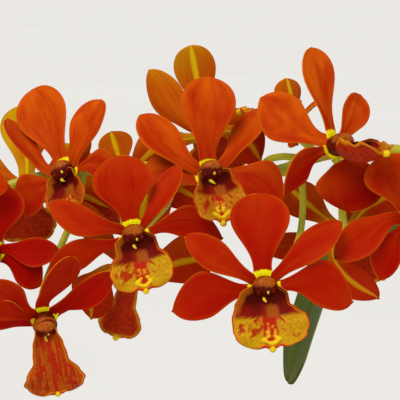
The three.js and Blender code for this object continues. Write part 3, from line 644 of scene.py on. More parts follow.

# Place in the spray (across, up, out), the way it faces, and what differs from the norm
# Each bloom's tint number sets its orange tint together with painted light: high for the upper, lit blooms,
# low for shaded ones; below 0 it darkens the bloom as painted shade.
BLOOMS = [
    dict(at=(17.7, -24, 2), yaw=2, pitch=4, roll=-5, size=1.04, tint_and_painted_light=0.04,
         stalk=((29.8, 6, -30), (29.8, -8, -29), (26, -17, -20)),
         dorsal=dict(angle=2, length=22.5), petal_left=dict(bulge=-0.05, turn=-6),
         petal_right=dict(angle=56, length=24.5, bulge=0), sepal_left=dict(angle=-99, length=22.5),
         sepal_right=dict(angle=106, length=21.3, bulge=-0.3),
         lip=dict(left=((0, 2.4), (0.13, 6.2), (0.3, 8.9), (0.45, 10.0), (0.6, 10.4), (0.72, 10.2),
                        (0.82, 9.6)))),
    dict(at=(-18.7, -9.9, -9), yaw=2, pitch=4, roll=-12, size=1, tint_and_painted_light=0.06,
         stalk=((-8.5, 7, -29), (-8.7, 1, -27), (-13, -5, -20)),
         dorsal=dict(length=20.3, width=17, widest=0.62),
         petal_left=dict(angle=-60, length=23, width=9, bulge=-0.23),
         petal_right=dict(angle=43, length=21.5, width=8, lift=10, turn=34, bulge=0.05),
         sepal_left=dict(angle=-80, bend=-52, width=8.5, bulge=0, lift=16, curl=44, length=25),
         sepal_right=dict(angle=105, length=22.5, width=10, turn=-14, bulge=-0.42),
         lip=dict(half=((0, 2.4), (0.13, 5.6), (0.3, 7.2), (0.43, 6.8), (0.57, 8.6), (0.7, 9.2),
                        (0.82, 8.6)))),
    dict(at=(2.9, 6.9, -19), yaw=4, pitch=22, roll=-8, size=1.06, tint_and_painted_light=0.4,
         dorsal=dict(angle=10, length=25, width=15, lift=28),
         petal_left=dict(angle=-34, length=24, width=11.5, lift=12, turn=-14),
         petal_right=dict(angle=42, length=23.5, width=9.5, lift=12, turn=34),
         sepal_left=dict(angle=-74, length=18, lift=-4), sepal_right=dict(angle=127, length=19),
         lip=dict(drop=(44, 82), yellow=0.5,
                  half=((0, 2.4), (0.13, 5.2), (0.3, 6.8), (0.43, 6.4), (0.57, 7.6), (0.7, 8), (0.82, 7.2)),
                  fold=(190, 205, 182, 150, 118, 88, 60))),
    dict(at=(37.7, 14.7, -10), yaw=40, pitch=16, roll=0, size=1.08, tint_and_painted_light=0.65,
         stalk=((18.2, 5, -29), (19.3, 11.2, -26), (23.5, 12.6, -23.5)),
         dorsal=dict(angle=-5, length=25, width=11.3, bulge=-0.16),
         petal_left=dict(angle=-33, length=21, width=13, lift=-26, curl=5, turn=34),
         petal_right=dict(angle=38, length=17.5, width=8, tip=2.2, sharp=0.5, bulge=0),
         sepal_left=dict(angle=-98, bend=-72, length=21, width=9.5, lift=10, curl=50, turn=30, bulge=0),
         sepal_right=dict(angle=175, length=18, width=19, lift=-8, turn=-38, bulge=0),
         lip=dict(drop=(46, -4), yellow=0.4,
                  half=((0, 2.4), (0.13, 6), (0.3, 9), (0.43, 9.4), (0.57, 8.8), (0.7, 8), (0.82, 7)),
                  fold=(190, 200, 184, 168, 150, 120, 90))),
    dict(at=(59.8, -5.6, -8), yaw=10, pitch=5, roll=-33, size=1, tint_and_painted_light=0.2,
         dorsal=dict(angle=7, length=17.5, width=15),
         petal_left=dict(angle=-91, length=24, width=10.5, bulge=0.05),
         sepal_left=dict(angle=-122, length=17, width=10)),
    dict(at=(-38.5, 7.4, -22), yaw=-24, pitch=18, roll=-30, size=1, tint_and_painted_light=0.42,
         dorsal=dict(angle=-1, length=28, widest=0.66, bulge=0.04),
         petal_left=dict(angle=-14, length=26.5, width=9, turn=-60),
         petal_right=dict(angle=49, length=21.5, width=11.5, bulge=0, tip=2.2, sharp=0.5),
         sepal_left=dict(angle=-97, length=16), sepal_right=dict(angle=124, length=14, width=9),
         lip=dict(drop=(56, 84), length=15.5, yellow=0.1,
                  half=((0, 2.4), (0.13, 4.8), (0.3, 6.4), (0.43, 6.2), (0.57, 7.2), (0.7, 7.4), (0.82, 7)),
                  fold=(190, 200, 172, 150, 128, 104, 80))),
    dict(at=(-52.6, 3, -46), yaw=190, pitch=0, roll=0, size=1, tint_and_painted_light=1),
    dict(at=(2.4, 20, -39), yaw=180, pitch=12, roll=14, size=1, tint_and_painted_light=0.62,
         dorsal=dict(angle=-4, length=25, lift=4, width=12.5), petal_left=dict(angle=-100, length=12),
         petal_right=dict(angle=25, length=25, width=11, lift=34), sepal_left=dict(angle=-142, length=16)),
    dict(at=(-43.4, -32.8, -3), yaw=8, pitch=-34, roll=-12, size=1, tint_and_painted_light=0.05,
         stalk=((-35, 6, -28), (-36, -1.5, -27), (-42, -18, -18)),
         dorsal=dict(angle=38, length=21.2, width=12.5, turn=-32),
         petal_left=dict(angle=-31, length=18, width=12.5),
         petal_right=dict(angle=67, length=21, width=8.5, lift=10, sharp=0.5),
         sepal_left=dict(angle=-62, length=17, width=12.5),
         sepal_right=dict(angle=150, lift=-50, length=16),
         lip=dict(length=20.5,
                  half=((0, 2.4), (0.15, 5.2), (0.5, 5.4), (0.66, 7.8), (0.76, 8.8), (0.84, 8)), yellow=0.1,
                  pattern=9, beads=0)),
    dict(at=(-59.6, -14.9, -16), yaw=-10, pitch=-4, roll=22, size=1, tint_and_painted_light=-0.6,
         dorsal=dict(angle=-6, length=17, width=12), petal_right=dict(angle=72, length=18),
         sepal_right=dict(angle=102, length=14.5, width=11, lift=7)),
    dict(at=(-24, 5, -54), yaw=170, pitch=8, roll=0, size=1, tint_and_painted_light=0.8,
         dorsal=dict(angle=16, length=14, width=11), petal_right=dict(angle=66)),
    dict(at=(-21.1, -21.7, -42), yaw=176, pitch=0, roll=-14, size=1.08, tint_and_painted_light=0.25,
         dorsal=dict(angle=6), sepal_right=dict(angle=171, length=16.5, width=13),
         sepal_left=dict(angle=-56),
         lip=dict(drop=(62, 88), yellow=0.3, length=19,
                  half=((0, 2.4), (0.13, 4), (0.3, 3.6), (0.5, 3.6), (0.68, 5.6), (0.8, 6.4),
                        (0.88, 6.2)))),
    dict(at=(42.8, -9.6, -38), yaw=176, pitch=-20, roll=48, size=1, tint_and_painted_light=0.2,
         dorsal=dict(length=20, width=12), petal_left=dict(length=19), sepal_left=dict(length=19),
         sepal_right=dict(angle=174, length=23.5, width=10)),
    dict(at=(88, 12, -10), yaw=42, pitch=18, roll=10, size=1, tint_and_painted_light=0.3),
    dict(at=(-77, 4, -14), yaw=-18, pitch=8, roll=-12, size=0.95, tint_and_painted_light=0.3),
    dict(at=(-86, -34, -26), yaw=-14, pitch=-14, roll=8, size=0.95, tint_and_painted_light=0.2),
    dict(at=(88, -36, -30), yaw=34, pitch=-24, roll=-10, size=1, tint_and_painted_light=0.15),
    dict(at=(27, 21, -36.5), yaw=-70, pitch=38, roll=12, size=1, tint_and_painted_light=0.8,
         dorsal=dict(angle=-18, length=13.5, width=13, lift=50, curl=0, turn=64),
         petal_left=dict(length=11), petal_right=dict(angle=30, length=13, width=8),
         sepal_left=dict(length=11, width=8), sepal_right=dict(length=12, width=9),
         lip=dict(drop=(10, 24), length=15, yellow=0.5,
                  half=((0, 2.4), (0.13, 3.8), (0.5, 3.6), (0.72, 4.4), (0.82, 4.2)))),
]

LEAN = rad(8)
SPRAY = np.array([[1, 0, 0], [0, math.sin(LEAN), -math.cos(LEAN)], [0, math.cos(LEAN), math.sin(LEAN)]])
TO_LIGHT = unit(np.array([-0.35, -0.45, 0.82]))
SUNNY = unit(np.array([-0.35, 0, 0.94]))


def bloom_turn(bloom):
    """The rotation from a bloom's own axes (right, up, out of its face) to the world."""
    return (SPRAY @ about(1, rad(bloom["yaw"])) @ about(0, rad(-bloom["pitch"]))
            @ about(2, rad(-bloom["roll"])))


def in_spray(spot):
    """The frame's own point for a place in the spray (across, up, out)."""
    return SPRAY_ORIGIN + SPRAY @ np.array(spot, float)


def tepal_width(tepal, t):
    """Share of the full width: a narrow claw, a widest place and a tip that is round or pointed."""
    rise = smooth((t - tepal["neck"]) / (tepal["widest"] - tepal["neck"])) ** 1.2
    past = np.clip((t - tepal["widest"]) / (1 - tepal["widest"]), 0, 1)
    fall = np.maximum((1 - past ** tepal["tip"]) ** tepal["sharp"], 0.04)
    return np.minimum(mix(tepal["claw"], 1, rise), fall)


def tepal_grid(tepal, root_angle, phase, rows=30, columns=17):
    """Centre surface of a tepal with its across and along numbers."""
    def course(t):
        return rad(mix(root_angle, tepal["angle"], smooth(t / 0.3)) + tepal["bend"] * t ** 1.3)

    def outward(t):
        rise = rad(tepal["lift"] - tepal["curl"] * t ** 1.4)
        return stack(np.cos(rise) * np.sin(course(t)), np.cos(rise) * np.cos(course(t)), np.sin(rise))

    u = np.sin(across_steps(columns) * math.pi / 2)
    t = 1 - (1 - along_steps(rows)) ** 1.5
    start = np.array([math.sin(course(0.0)), math.cos(course(0.0)), 0]) * TEPAL_START
    centre = trace(start, outward, tepal["length"], 96, t)
    across = stack(np.cos(course(t)), -np.sin(course(t)), 0)
    face = np.cross(across, outward(t))
    turn = rad(tepal["turn"]) * smooth(t / 0.35)[..., None]
    side = across * np.cos(turn) + face * np.sin(turn)
    front = face * np.cos(turn) - across * np.sin(turn)
    half = tepal_width(tepal, t) * tepal["width"] / 2
    reach = half * u + tepal["bulge"] * tepal["width"] * np.sin(math.pi * t) ** 1.2
    wave = np.sin(7.5 * t + phase + 1.3 * u) * u ** 2 * smooth(t / 0.4)
    bow = tepal["cup"] * half * u ** 2 + wave * 0.028 * tepal["width"] * (1 - 0.4 * t)
    bow = bow - 0.16 * bell(u, 0.10) * smooth(t / 0.1) * smooth((1 - t) / 0.12)
    pout = 0.4 * tepal["foot"] * bell(t - 0.05, 0.05) * (1 - u ** 4)
    point = tepal["point"] * smooth((t - 0.93) / 0.07) * bell(u, 0.55)
    grid = (centre + side * reach[..., None] + front * (bow + pout)[..., None]
            + outward(t) * point[..., None])
    inner = grid[:1] - outward(np.array(0.0)) * 1.9
    return np.concatenate([inner, grid]), *np.broadcast_arrays(u, np.vstack([[[0.0]], t]))


def hub_body():
    """The low boss where the five tepals meet."""
    heights = np.array([HUB_BACK, -1.9, -1.2, -0.4, 0.2, 0.7, 0.95])
    return tube(stack(0, 0, heights), [1.25, 1.7, 2.5, 3.0, 2.9, 2.2, 0.8], 20)


def make_petals(number, bloom):
    build = Build()
    turn = bloom_turn(bloom)
    dice = chance(100 + number)
    for name, norm in TEPALS.items():
        tepal = {**norm, **bloom.get(name, {})}
        phase = dice.uniform(0, 6.28)
        seed = dice.uniform(0, 60)
        tone = dice.uniform(-0.05, 0.07)
        grid, u, t = tepal_grid(tepal, norm["angle"], phase)
        thick = 0.16 + 0.62 * (1 - 0.75 * u ** 2) * (1 - 0.45 * t)
        points, normal, faces = sheet(grid, thick)
        # Painted light: the tepals turn more orange where they face the key light (lit), stand higher along
        # the light (high) and lie on the light's side of their midline (lean); the bloom's own value adds
        # its tint, and below 0 it adds painted shade.
        lit = np.tile(np.clip(normal @ turn.T @ TO_LIGHT, 0, 1), 2)
        high = points @ turn.T @ SUNNY / 22
        lean = ((grid - grid[:, grid.shape[1] // 2, None]) @ turn.T @ SUNNY / 5).ravel()
        glow = 0.25 + 0.65 * lit + 0.70 * high + 0.45 * np.tile(lean, 2)
        tint_and_painted_light = np.clip(bloom["tint_and_painted_light"] * glow + 0.08 * lit + 0.08 * high + tone, 0, 1)
        build.add(points, faces, both_sides(u, t), stack(tepal["foot"], seed, tint_and_painted_light))
    points, faces, place = hub_body()
    side = np.clip((points[:, 2] + 0.6) / 0.5, -1, 1)
    build.add(points, faces, stack(place[:, 0] * 0.5, 0, side), (0.9, dice.uniform(0, 60), bloom["tint_and_painted_light"]))
    label = f"bloom_{number:02d}"
    return build.make(f"{label}_petals", f"{label}_tepals", [PETAL], turn, in_spray(bloom["at"]),
                      bloom["size"])


def lip_beads(dice, length):
    """Fleshy beads on the middle lobe, a cluster near its tip: (across, along, radius, height)."""
    beads = []
    for k in range(11):
        along = length * mix(0.66, 0.93, (k + dice.uniform(0, 0.8)) / 11)
        spread = mix(0.7, 2.1, k / 10)
        for sign in (-1, 1):
            across = sign * spread * dice.uniform(0.45, 1.1)
            beads.append((across, along + dice.uniform(-0.4, 0.4), dice.uniform(0.36, 0.6),
                          dice.uniform(0.35, 0.7)))
    for k in range(9):
        turn = math.pi * (k + 0.5) / 9
        beads.append((2.1 * math.cos(turn), length * 0.86 + 1.3 * math.sin(turn), dice.uniform(0.5, 0.7),
                      0.7))
    return beads


def add_lip_blade(build, lip, dice):
    """The lip's blade, with a notched tip, a ruffled margin, keels on its neck and beads on its lobe."""
    rows, columns = 66, 45

    def heading(t):
        drop = rad(mix(lip["drop"][0], lip["drop"][1], smooth(t * 1.1)))
        return stack(0, -np.sin(drop), np.cos(drop))

    t = along_steps(rows)
    t = mix(t, 1 - (1 - t) ** 1.4, 0.6)
    u = np.linspace(1, -1, columns)[None, :]
    u = mix(u, np.sin(u * math.pi / 2), 0.5)
    centre = trace(np.array([0, -1.2, 1.5]), heading, lip["length"], 120, t, 0)
    ahead = heading(t)
    up = np.cross(ahead, np.array([1.0, 0, 0]))
    past = np.clip((t - 0.82) / 0.18, 0, 1)
    half = np.where(u > 0, through(lip["half"], t), through(lip["left"] or lip["half"], t))
    half = half * np.sqrt(1 - 0.93 * past ** 2)
    fold = through(list(zip(FOLD_PLACES, lip["fold"])), t)
    beside, rise = folded(half, rad(fold), u)
    x = u * half
    y = np.broadcast_to(t * lip["length"], x.shape)
    notch = 0.5 * bell(np.abs(x) - 2.2, 1.0) * smooth((t - 0.86) / 0.14)
    lobe = smooth((t - 0.5) / 0.22)
    ruffle = np.sin(t * 21 + 2.2 * u + dice.uniform(0, 6.28)) * np.abs(u) ** 2.6 * lobe * 0.55
    belly = -1.1 * bell(np.abs(u) - 0.62, 0.34) * lobe * (1 - 0.5 * past)
    keels = 0.55 * bell(np.abs(x) - 1.15, 0.42) * smooth((y - 4.5) / 1.5) * smooth((11.5 - y) / 2.5)
    relief = np.zeros_like(x)
    for bx, by, br, bh in lip_beads(dice, lip["length"]):
        relief = np.maximum(relief,
                            lip["beads"] * bh * np.exp(-(((x - bx) ** 2 + (y - by) ** 2) / br ** 2)))
    grid = (centre + np.array([1.0, 0, 0]) * beside[..., None] + up * (rise + ruffle - belly)[..., None]
            - ahead * notch[..., None])
    thick = 0.22 + 0.55 * (1 - 0.7 * u ** 2) * (1 - 0.35 * t)
    points, normal, faces = sheet(grid, thick)
    points[:len(normal)] += (relief + keels).reshape(-1, 1) * normal
    rim = np.minimum((1 - np.abs(u)) * half, (1 - t) * lip["length"])
    bend = 0.15 * dice.uniform(-1, 1)
    yellow = np.clip(lip["yellow"] * (0.95 - bend * u), 0, 1)
    trait = stack(yellow, smooth((relief - 0.16) / 0.2), rim).reshape(-1, 3)
    build.add(points, faces, both_sides(x, y + lip["pattern"]), np.tile(trait, (2, 1)))
    # the small yellow point at the tip, under the front edge
    ahead = ahead[-1]
    tip = centre[-1] - up[-1] * 0.25 + ahead * np.array([[-0.9], [0.1], [0.7], [1.0]])
    points, faces, _ = tube(tip, [0.6, 0.95, 0.7, 0.15], 10)
    build.add(points, faces, (0, 18, 1), (1, 1, 2))


def add_column(build):
    """The column with its wings, cap, beak and the tooth below it."""
    spine = route([(0, 0.0, -0.3), (0, 0.1, 1.5), (0, -0.1, 3.2), (0, -0.55, 4.9), (0, -1.1, 6.0)], 20)
    along = along_steps(21)
    girth = through(((0, 2.6), (0.25, 2.7), (0.55, 3.3), (0.78, 3.0), (0.92, 2.0), (1, 0.35)), along)
    ring = circle(26)
    body = girth * (1 + 0.06 * np.cos(2 * ring) + 0.02 * np.cos(5 * ring + 6 * along))
    points, faces, _ = tube(spine, body, 26)
    tan = smooth((points[:, 2] - 2.4) / 1.4) * smooth((points[:, 1] + 0.9) / 1.6) * 0.75
    build.add(points, faces, trait=stack(tan, 0, 0), slot=1)
    points, faces = ball((0.2, 0.55, 4.45), (2.85, 2.15, 2.0), 30, 19)
    spread = np.hypot((points[:, 0] - 0.2) / 2.85, (points[:, 1] - 0.55) / 2.15)
    edge = smooth((1.02 - spread) / 0.16) * smooth((points[:, 1] + 1.15) / 1.7)
    off = points[:, 0] - 0.25
    points[:, 2] += (0.16 * bell(off, 0.3) - 0.14 * bell(np.abs(off) - 0.75, 0.25)) * edge
    build.add(points, faces, trait=stack(0.3 + 0.7 * edge, 0, 0), slot=1)
    points, faces = ball((0.55, -1.6, 5.55), (0.34, 0.55, 0.4))
    build.add(points, faces, trait=(2, 0, 0), slot=1)
    for sign in (-1, 1):
        points, faces = ball((sign * 2.1, -1.3, 4.2), (1.0, 1.35, 1.5), 16, 11)
        build.add(points, faces, slot=1)
    tooth = route([(-0.7, -3.2, 4.2), (-0.45, -3.9, 5.3), (0.35, -4.8, 5.5)], 6)
    points, faces, _ = tube(tooth, [0.6, 0.55, 0.5, 0.42, 0.34, 0.24, 0.08], 10)
    build.add(points, faces, trait=(1.75, 0, 0), slot=1)


def make_lip(number, bloom):
    build = Build()
    add_lip_blade(build, {**LIP, **bloom.get("lip", {})}, chance(400 + number))
    add_column(build)
    label = f"bloom_{number:02d}"
    return build.make(f"{label}_lip_column", f"{label}_lip", [LIP_LOOK, COLUMN], bloom_turn(bloom),
                      in_spray(bloom["at"]), bloom["size"])


# Spike and buds

SPIKE_PATH = [
    (-2.3, -7.1, 146), (-1, -11, 170), (4, -23, 206), (8, -43, 252), (4, -64, 298), (-14, -77, 334),
    (-40, -80, 348), (-62, -80, 350.5), (-75, -80, 349), (-86, -80, 344.5), (-98, -80, 343.3),
    (-113, -80, 345), (-130, -80, 345.5), (-150, -80, 344), (-166, -80, 340), (-207, -83, 323),
    (-237, -87, 304),
]
BUDS = [
    dict(at=(-112, -2, -24), toward=(-0.5, 0.55, 0.67), length=12, radius=4.2),
    dict(at=(-118, -24, -22), toward=(-0.45, -0.6, 0.66), length=11, radius=3.9),
    dict(at=(-133, -36, -27), toward=(-0.9, -0.35, 0.25), length=9, radius=3.1),
]
SPIKE = route(SPIKE_PATH, 200)
SPIKE_JOINTS = (0.085, 0.19, 0.30, 0.41)
FLOWERING_PART = SPIKE[40:]
OVARY = 7
SHEATH = 11


def add_stalklet(build, end, outward, seed, by_way=()):
    """A stalklet from the axis to the back of a flower, with a ribbed ovary and a bract at its foot."""
    stops = [in_spray(stop) for stop in by_way]
    near = stops[0] if stops else end - outward * 12
    place = int(np.argmin(np.linalg.norm(FLOWERING_PART - near, axis=1)))
    foot = FLOWERING_PART[place]
    behind = end - outward * OVARY
    path = route([foot, *(stops or [mix(foot, behind, 0.55)]), behind, end + outward * 0.25], 26)
    along = along_steps(27)
    girth = through(((0, 1.35), (0.15, 1.0), (0.55, 1.05), (0.8, 1.32), (1, 1.25)), along)
    ribs = 1 + 0.10 * np.cos(3 * circle(14) + 4 * along) * smooth((along - 0.4) / 0.3)
    points, faces, mark = tube(path, girth * ribs, 14)
    hue = 0.55 + 0.75 * smooth((mark[:, 2] - 0.55) / 0.45) + 0.25 * seed
    build.add(points, faces, trait=stack(hue, 0, 0))
    axis = unit(FLOWERING_PART[min(place + 1, len(FLOWERING_PART) - 1)] - FLOWERING_PART[max(place - 1, 0)])
    away = unit((path[3] - foot) - axis * np.dot(path[3] - foot, axis))
    side = np.cross(axis, away)
    s = along_steps(7)
    u = across_steps(7)
    half = 1.5 * np.sqrt(np.clip(1 - s ** 1.7, 0.01, 1))
    lift = 1.35 + 1.4 * s ** 1.5 - 0.5 * u ** 2
    grid = foot + axis * (s * 3.4 - 1.9)[..., None] + side * (half * u)[..., None] + away * lift[..., None]
    points, _, faces = sheet(grid, 0.25)
    build.add(points, faces, trait=(0.75, 0, 0))


def make_spike():
    build = Build()
    steps = 150
    axis = route(SPIKE_PATH, steps)
    along = along_steps(steps + 1)
    girth = 2.5 - 1.2 * along ** 1.5
    for place in SPIKE_JOINTS:
        girth = girth + 0.35 * bell(along - place, 0.008)
    ribs = 1 + 0.03 * np.cos(5 * circle(16) + 9 * along)
    points, faces, mark = tube(axis, girth * ribs, 16)
    hue = 0.10 + 0.62 * smooth((mark[:, 2] - 0.3) / 0.4)
    build.add(points, faces, trait=stack(hue, 0, 0))
    for k, place in enumerate(SPIKE_JOINTS):
        at = int(place * steps)
        ahead = unit(axis[at + 1] - axis[at - 1])
        over = unit(np.cross(ahead, [0, 1, 0])) * (1 if k % 2 else -1)
        other = np.cross(ahead, over)
        s = along_steps(12)
        wrap = across_steps(15)
        around = wrap * 2.5 * np.sqrt(np.clip(1 - s ** 2.2, 0.015, 1))
        line = stack(*(np.interp(at + s * SHEATH, np.arange(steps + 1), axis[:, i]) for i in range(3)))
        out = (2.62 + 0.9 * s ** 2)[..., None]
        grid = line + out * (over * np.cos(around)[..., None] + other * np.sin(around)[..., None])
        points, _, faces = sheet(grid, 0.3)
        build.add(points, faces, trait=(0.35, 0, 0))
    dice = chance(31)
    for bloom in BLOOMS:
        outward = bloom_turn(bloom) @ np.array([0, 0, 1.0])
        end = in_spray(bloom["at"]) + outward * (HUB_BACK * bloom["size"] - 0.3)
        add_stalklet(build, end, outward, dice.uniform(), bloom.get("stalk", ()))
    for bud in BUDS:
        outward = SPRAY @ unit(np.array(bud["toward"]))
        add_stalklet(build, in_spray(bud["at"]) - outward * 0.3, outward, dice.uniform())
    return build.make("spike_and_stalklets", "flower_spike", [STALK])


def make_bud(number, bud):
    build = Build()
    outward = SPRAY @ unit(np.array(bud["toward"]))
    along = along_steps(33)
    droop = np.cross(outward, [1.0, 0, 0])
    path = in_spray(bud["at"]) + outward * bud["length"] * along + droop * 0.5 * along ** 2
    girth = through(((0, 0.34), (0.25, 0.82), (0.5, 1), (0.78, 0.78), (0.93, 0.42), (1, 0.08)), along)
    seams = np.abs(np.sin(1.5 * circle(30) + 0.5)) ** 0.35
    girth = girth * (1 - 0.11 * (1 - seams) * smooth(along / 0.3)) * bud["radius"]
    points, faces, mark = tube(path, girth, 30)
    build.add(points, faces, mark)
    return build.make(f"bud_{number}_closed", f"bud_{number}", [BUD])


# Leaves, stem and roots

LEAF_WIDTH = 27
LEAF_FAN_TURN = -18
LEAVES = [
    dict(height=126, side=-1, climb=(50, -38), length=185, bend=(0.1, 1.0), drift=14, twist=20),
    dict(height=136, side=1, climb=(52, -34), length=195, bend=(0.1, 1.0), drift=-10, twist=-25),
    dict(height=147, side=-1, climb=(50, -36), length=205, bend=(0.15, 1.0), drift=-9, twist=30),
    dict(height=157, side=1, climb=(58, -30), length=210, bend=(0.15, 1.0), drift=8, twist=-15),
    dict(height=168, side=-1, climb=(52, -42), length=190, bend=(0.2, 1.0), drift=16, twist=-20),
    dict(height=178, side=1, climb=(66, -22), length=215, bend=(0.2, 1.0), drift=-12, twist=25),
    dict(height=190, side=-1, climb=(83, -73), length=213.5, bend=(0.42, 0.86), drift=-5, twist=35),
    dict(height=200, side=1, climb=(78, 4), length=190, bend=(0.2, 1.0), drift=6, twist=20),
    dict(height=211, side=-1, climb=(90, 81), length=105, bend=(0.2, 1.0), drift=0, twist=8),
]
LEAF_HALF = ((0, 0.55), (0.12, 0.8), (0.35, 1), (0.75, 0.9), (0.93, 0.76), (1, 0.62))
LEAF_FOLD = ((0, 150), (0.1, 135), (0.3, 78), (0.7, 46), (1, 26))


def make_leaf(number, leaf):
    dice = chance(700 + number)
    rows, columns = 72, 21
    first, last = leaf["bend"]

    def climb(t):
        return rad(mix(*leaf["climb"], smooth((t - first) / (last - first))))

    def heading(t):
        course = rad(leaf["drift"] * t)
        return stack(leaf["side"] * np.cos(climb(t)) * np.cos(course), np.cos(climb(t)) * np.sin(course),
                     np.sin(climb(t)))

    s = along_steps(rows)
    u = across_steps(columns)
    u = mix(u, np.sin(u * math.pi / 2), 0.4)
    longer = 0.006 * np.sign(dice.uniform(-1, 1))
    t = s * np.minimum(1 - 0.035 * u ** 2 - 0.030 * np.abs(u) ** 5 + longer * u, 1.0)
    clasp = LEAF_HALF[0][1] * LEAF_WIDTH / rad(LEAF_FOLD[0][1])
    start = np.array([leaf["side"] * clasp, 0, leaf["height"]])
    centre = trace(start, heading, leaf["length"], 160, t)
    course = rad(leaf["drift"] * t)
    level = stack(-np.sin(course) * leaf["side"], np.cos(course), 0)
    above = unit(np.cross(heading(t), level) * leaf["side"])
    twist = (rad(leaf["twist"]) * smooth((t - 0.25) / 0.7))[..., None]
    across = level * np.cos(twist) + above * np.sin(twist)
    up = above * np.cos(twist) - level * np.sin(twist)
    beside, rise = folded(through(LEAF_HALF, t) * LEAF_WIDTH / 2, rad(through(LEAF_FOLD, t)), u)
    groove = 0.75 * np.exp(-np.abs(u) / 0.09) * smooth(t / 0.08)
    wave = 0.35 * np.sin(t * 26 + dice.uniform(0, 6)) * np.abs(u) ** 3 * smooth((t - 0.2) / 0.3)
    grid = centre + across * beside[..., None] + up * (rise - groove + wave)[..., None]
    thick = 0.55 + 0.75 * (1 - np.abs(u) ** 1.5) * (1 - 0.25 * t)
    points, _, faces = sheet(grid[:, ::-1] if leaf["side"] > 0 else grid, thick)
    age = max(0.0, 1 - number / 6) + 0.1
    build = Build()
    build.add(points, faces, both_sides(u, t), (age, dice.uniform(0, 50), 0))
    return build.make(f"leaf_{number}_strap", f"leaf_{number}", [LEAF],
                      about(2, rad(LEAF_FAN_TURN)))


STEM_FOOT = 40
STEM_TOP = 226
OLD_SHEATHS = [52, 62, 72, 82, 92, 101, 110, 118]


def make_stem():
    """The stem, wrapped in the sheaths of its leaves and of the older leaves that fell."""
    sides, rings = 40, 260
    z = np.linspace(STEM_FOOT, STEM_TOP - 2, rings)[:, None]
    turn = circle(sides)
    reach = rim = np.zeros((rings, sides))
    below = STEM_FOOT
    for k, edge in enumerate(OLD_SHEATHS + [leaf["height"] for leaf in LEAVES]):
        facing = math.pi if k % 2 == 0 else 0.0
        top = edge + 2.2 * np.cos(turn - facing - rad(LEAF_FAN_TURN))
        inside = (z <= top) & (z > below)
        reach = np.where(inside, np.clip((z - (edge - 10)) / 10, 0, 1), reach)
        rim = np.where(inside, bell(z - top, 0.7), rim)
        below = top
    girth = 4.15 + 0.55 * reach
    girth = girth * np.where(z > STEM_TOP - 7, 1 - 0.5 * smooth((z - STEM_TOP + 7) / 6), 1)
    points, faces, mark = tube(stack(0, 0, z[:, 0]), girth, sides)
    edge = np.concatenate([rim.ravel(), [0, 0]])
    dry = 1 - smooth((points[:, 2] - 112) / 30)
    build = Build()
    build.add(points, faces, stack(mark[:, 0], mark[:, 1], points[:, 2] / 10), stack(edge, dry, 0))
    return build.make("stem_with_sheaths", "stem", [STEM])


ROOT_PATHS = [
    [(3, -2, 128), (16, -12, 131), (30, -23, 121), (37, -28, 106), (38, -28, 90)],
    [(-3, -2, 113), (-18, -13, 119), (-30, -22, 115), (-36, -26, 104), (-38, -27, 90)],
    [(2, 3, 134), (14, 17, 137), (23, 29, 126), (27, 36, 108), (27, 37, 91)],
    [(0, -3, 132.5), (3, -13, 134), (9, -28, 141), (19, -47, 138), (26, -63, 127), (28, -69, 112),
     (29, -70, 92), (27, -68, 70), (23, -66, 52)],
]
HANGING_ROOT = 4


def make_root(number, path):
    dice = chance(900 + number)
    hangs = number == HANGING_ROOT
    steps = 110 if hangs else 60
    along = along_steps(steps + 1)
    girth = 2.45 * (1 + 0.05 * np.sin(along * 31 + dice.uniform(0, 6)) + 0.03 * np.sin(along * 77))
    if hangs:
        girth = girth * np.sqrt(np.clip(1 - smooth((along - 0.955) / 0.045) ** 2 * 0.985, 0.01, 1))
    lumps = 1 + 0.03 * np.sin(3 * circle(18) + 20 * along) + dice.normal(0, 0.008, (steps + 1, 18))
    points, faces, mark = tube(route(path, steps), girth * lumps, 18)
    fresh = smooth((mark[:, 2] - 0.86) / 0.08) * hangs
    build = Build()
    build.add(points, faces, trait=stack(fresh, 0, 0))
    return build.make(f"root_{number}_aerial", f"root_{number}", [ROOT])


# Pot and bark

POT_HEIGHT = 115
POT_BASE = 45
POT_TOP = 63
POT_RIM = 70
POT_RIM_HEIGHT = 24
POT_WALL = 6
POT_FLOOR = 8
POT_RING_GAP = 3.5
DRAIN_HOLES = 4
DRAIN_RADIUS = 5
DRAIN_REACH = 26
BARK_LEVEL = 99


def pot_radius(z):
    return mix(POT_BASE, POT_TOP, z / POT_HEIGHT)


def rounded(corner, before, after, radius, steps=5):
    """Points of a rounded corner of a profile."""
    corner, before, after = (np.array(p, float) for p in (corner, before, after))
    start = corner + unit(before - corner) * radius
    stop = corner + unit(after - corner) * radius
    t = along_steps(steps)
    return ((1 - t) ** 2 * start + 2 * t * (1 - t) * corner + t ** 2 * stop).tolist()


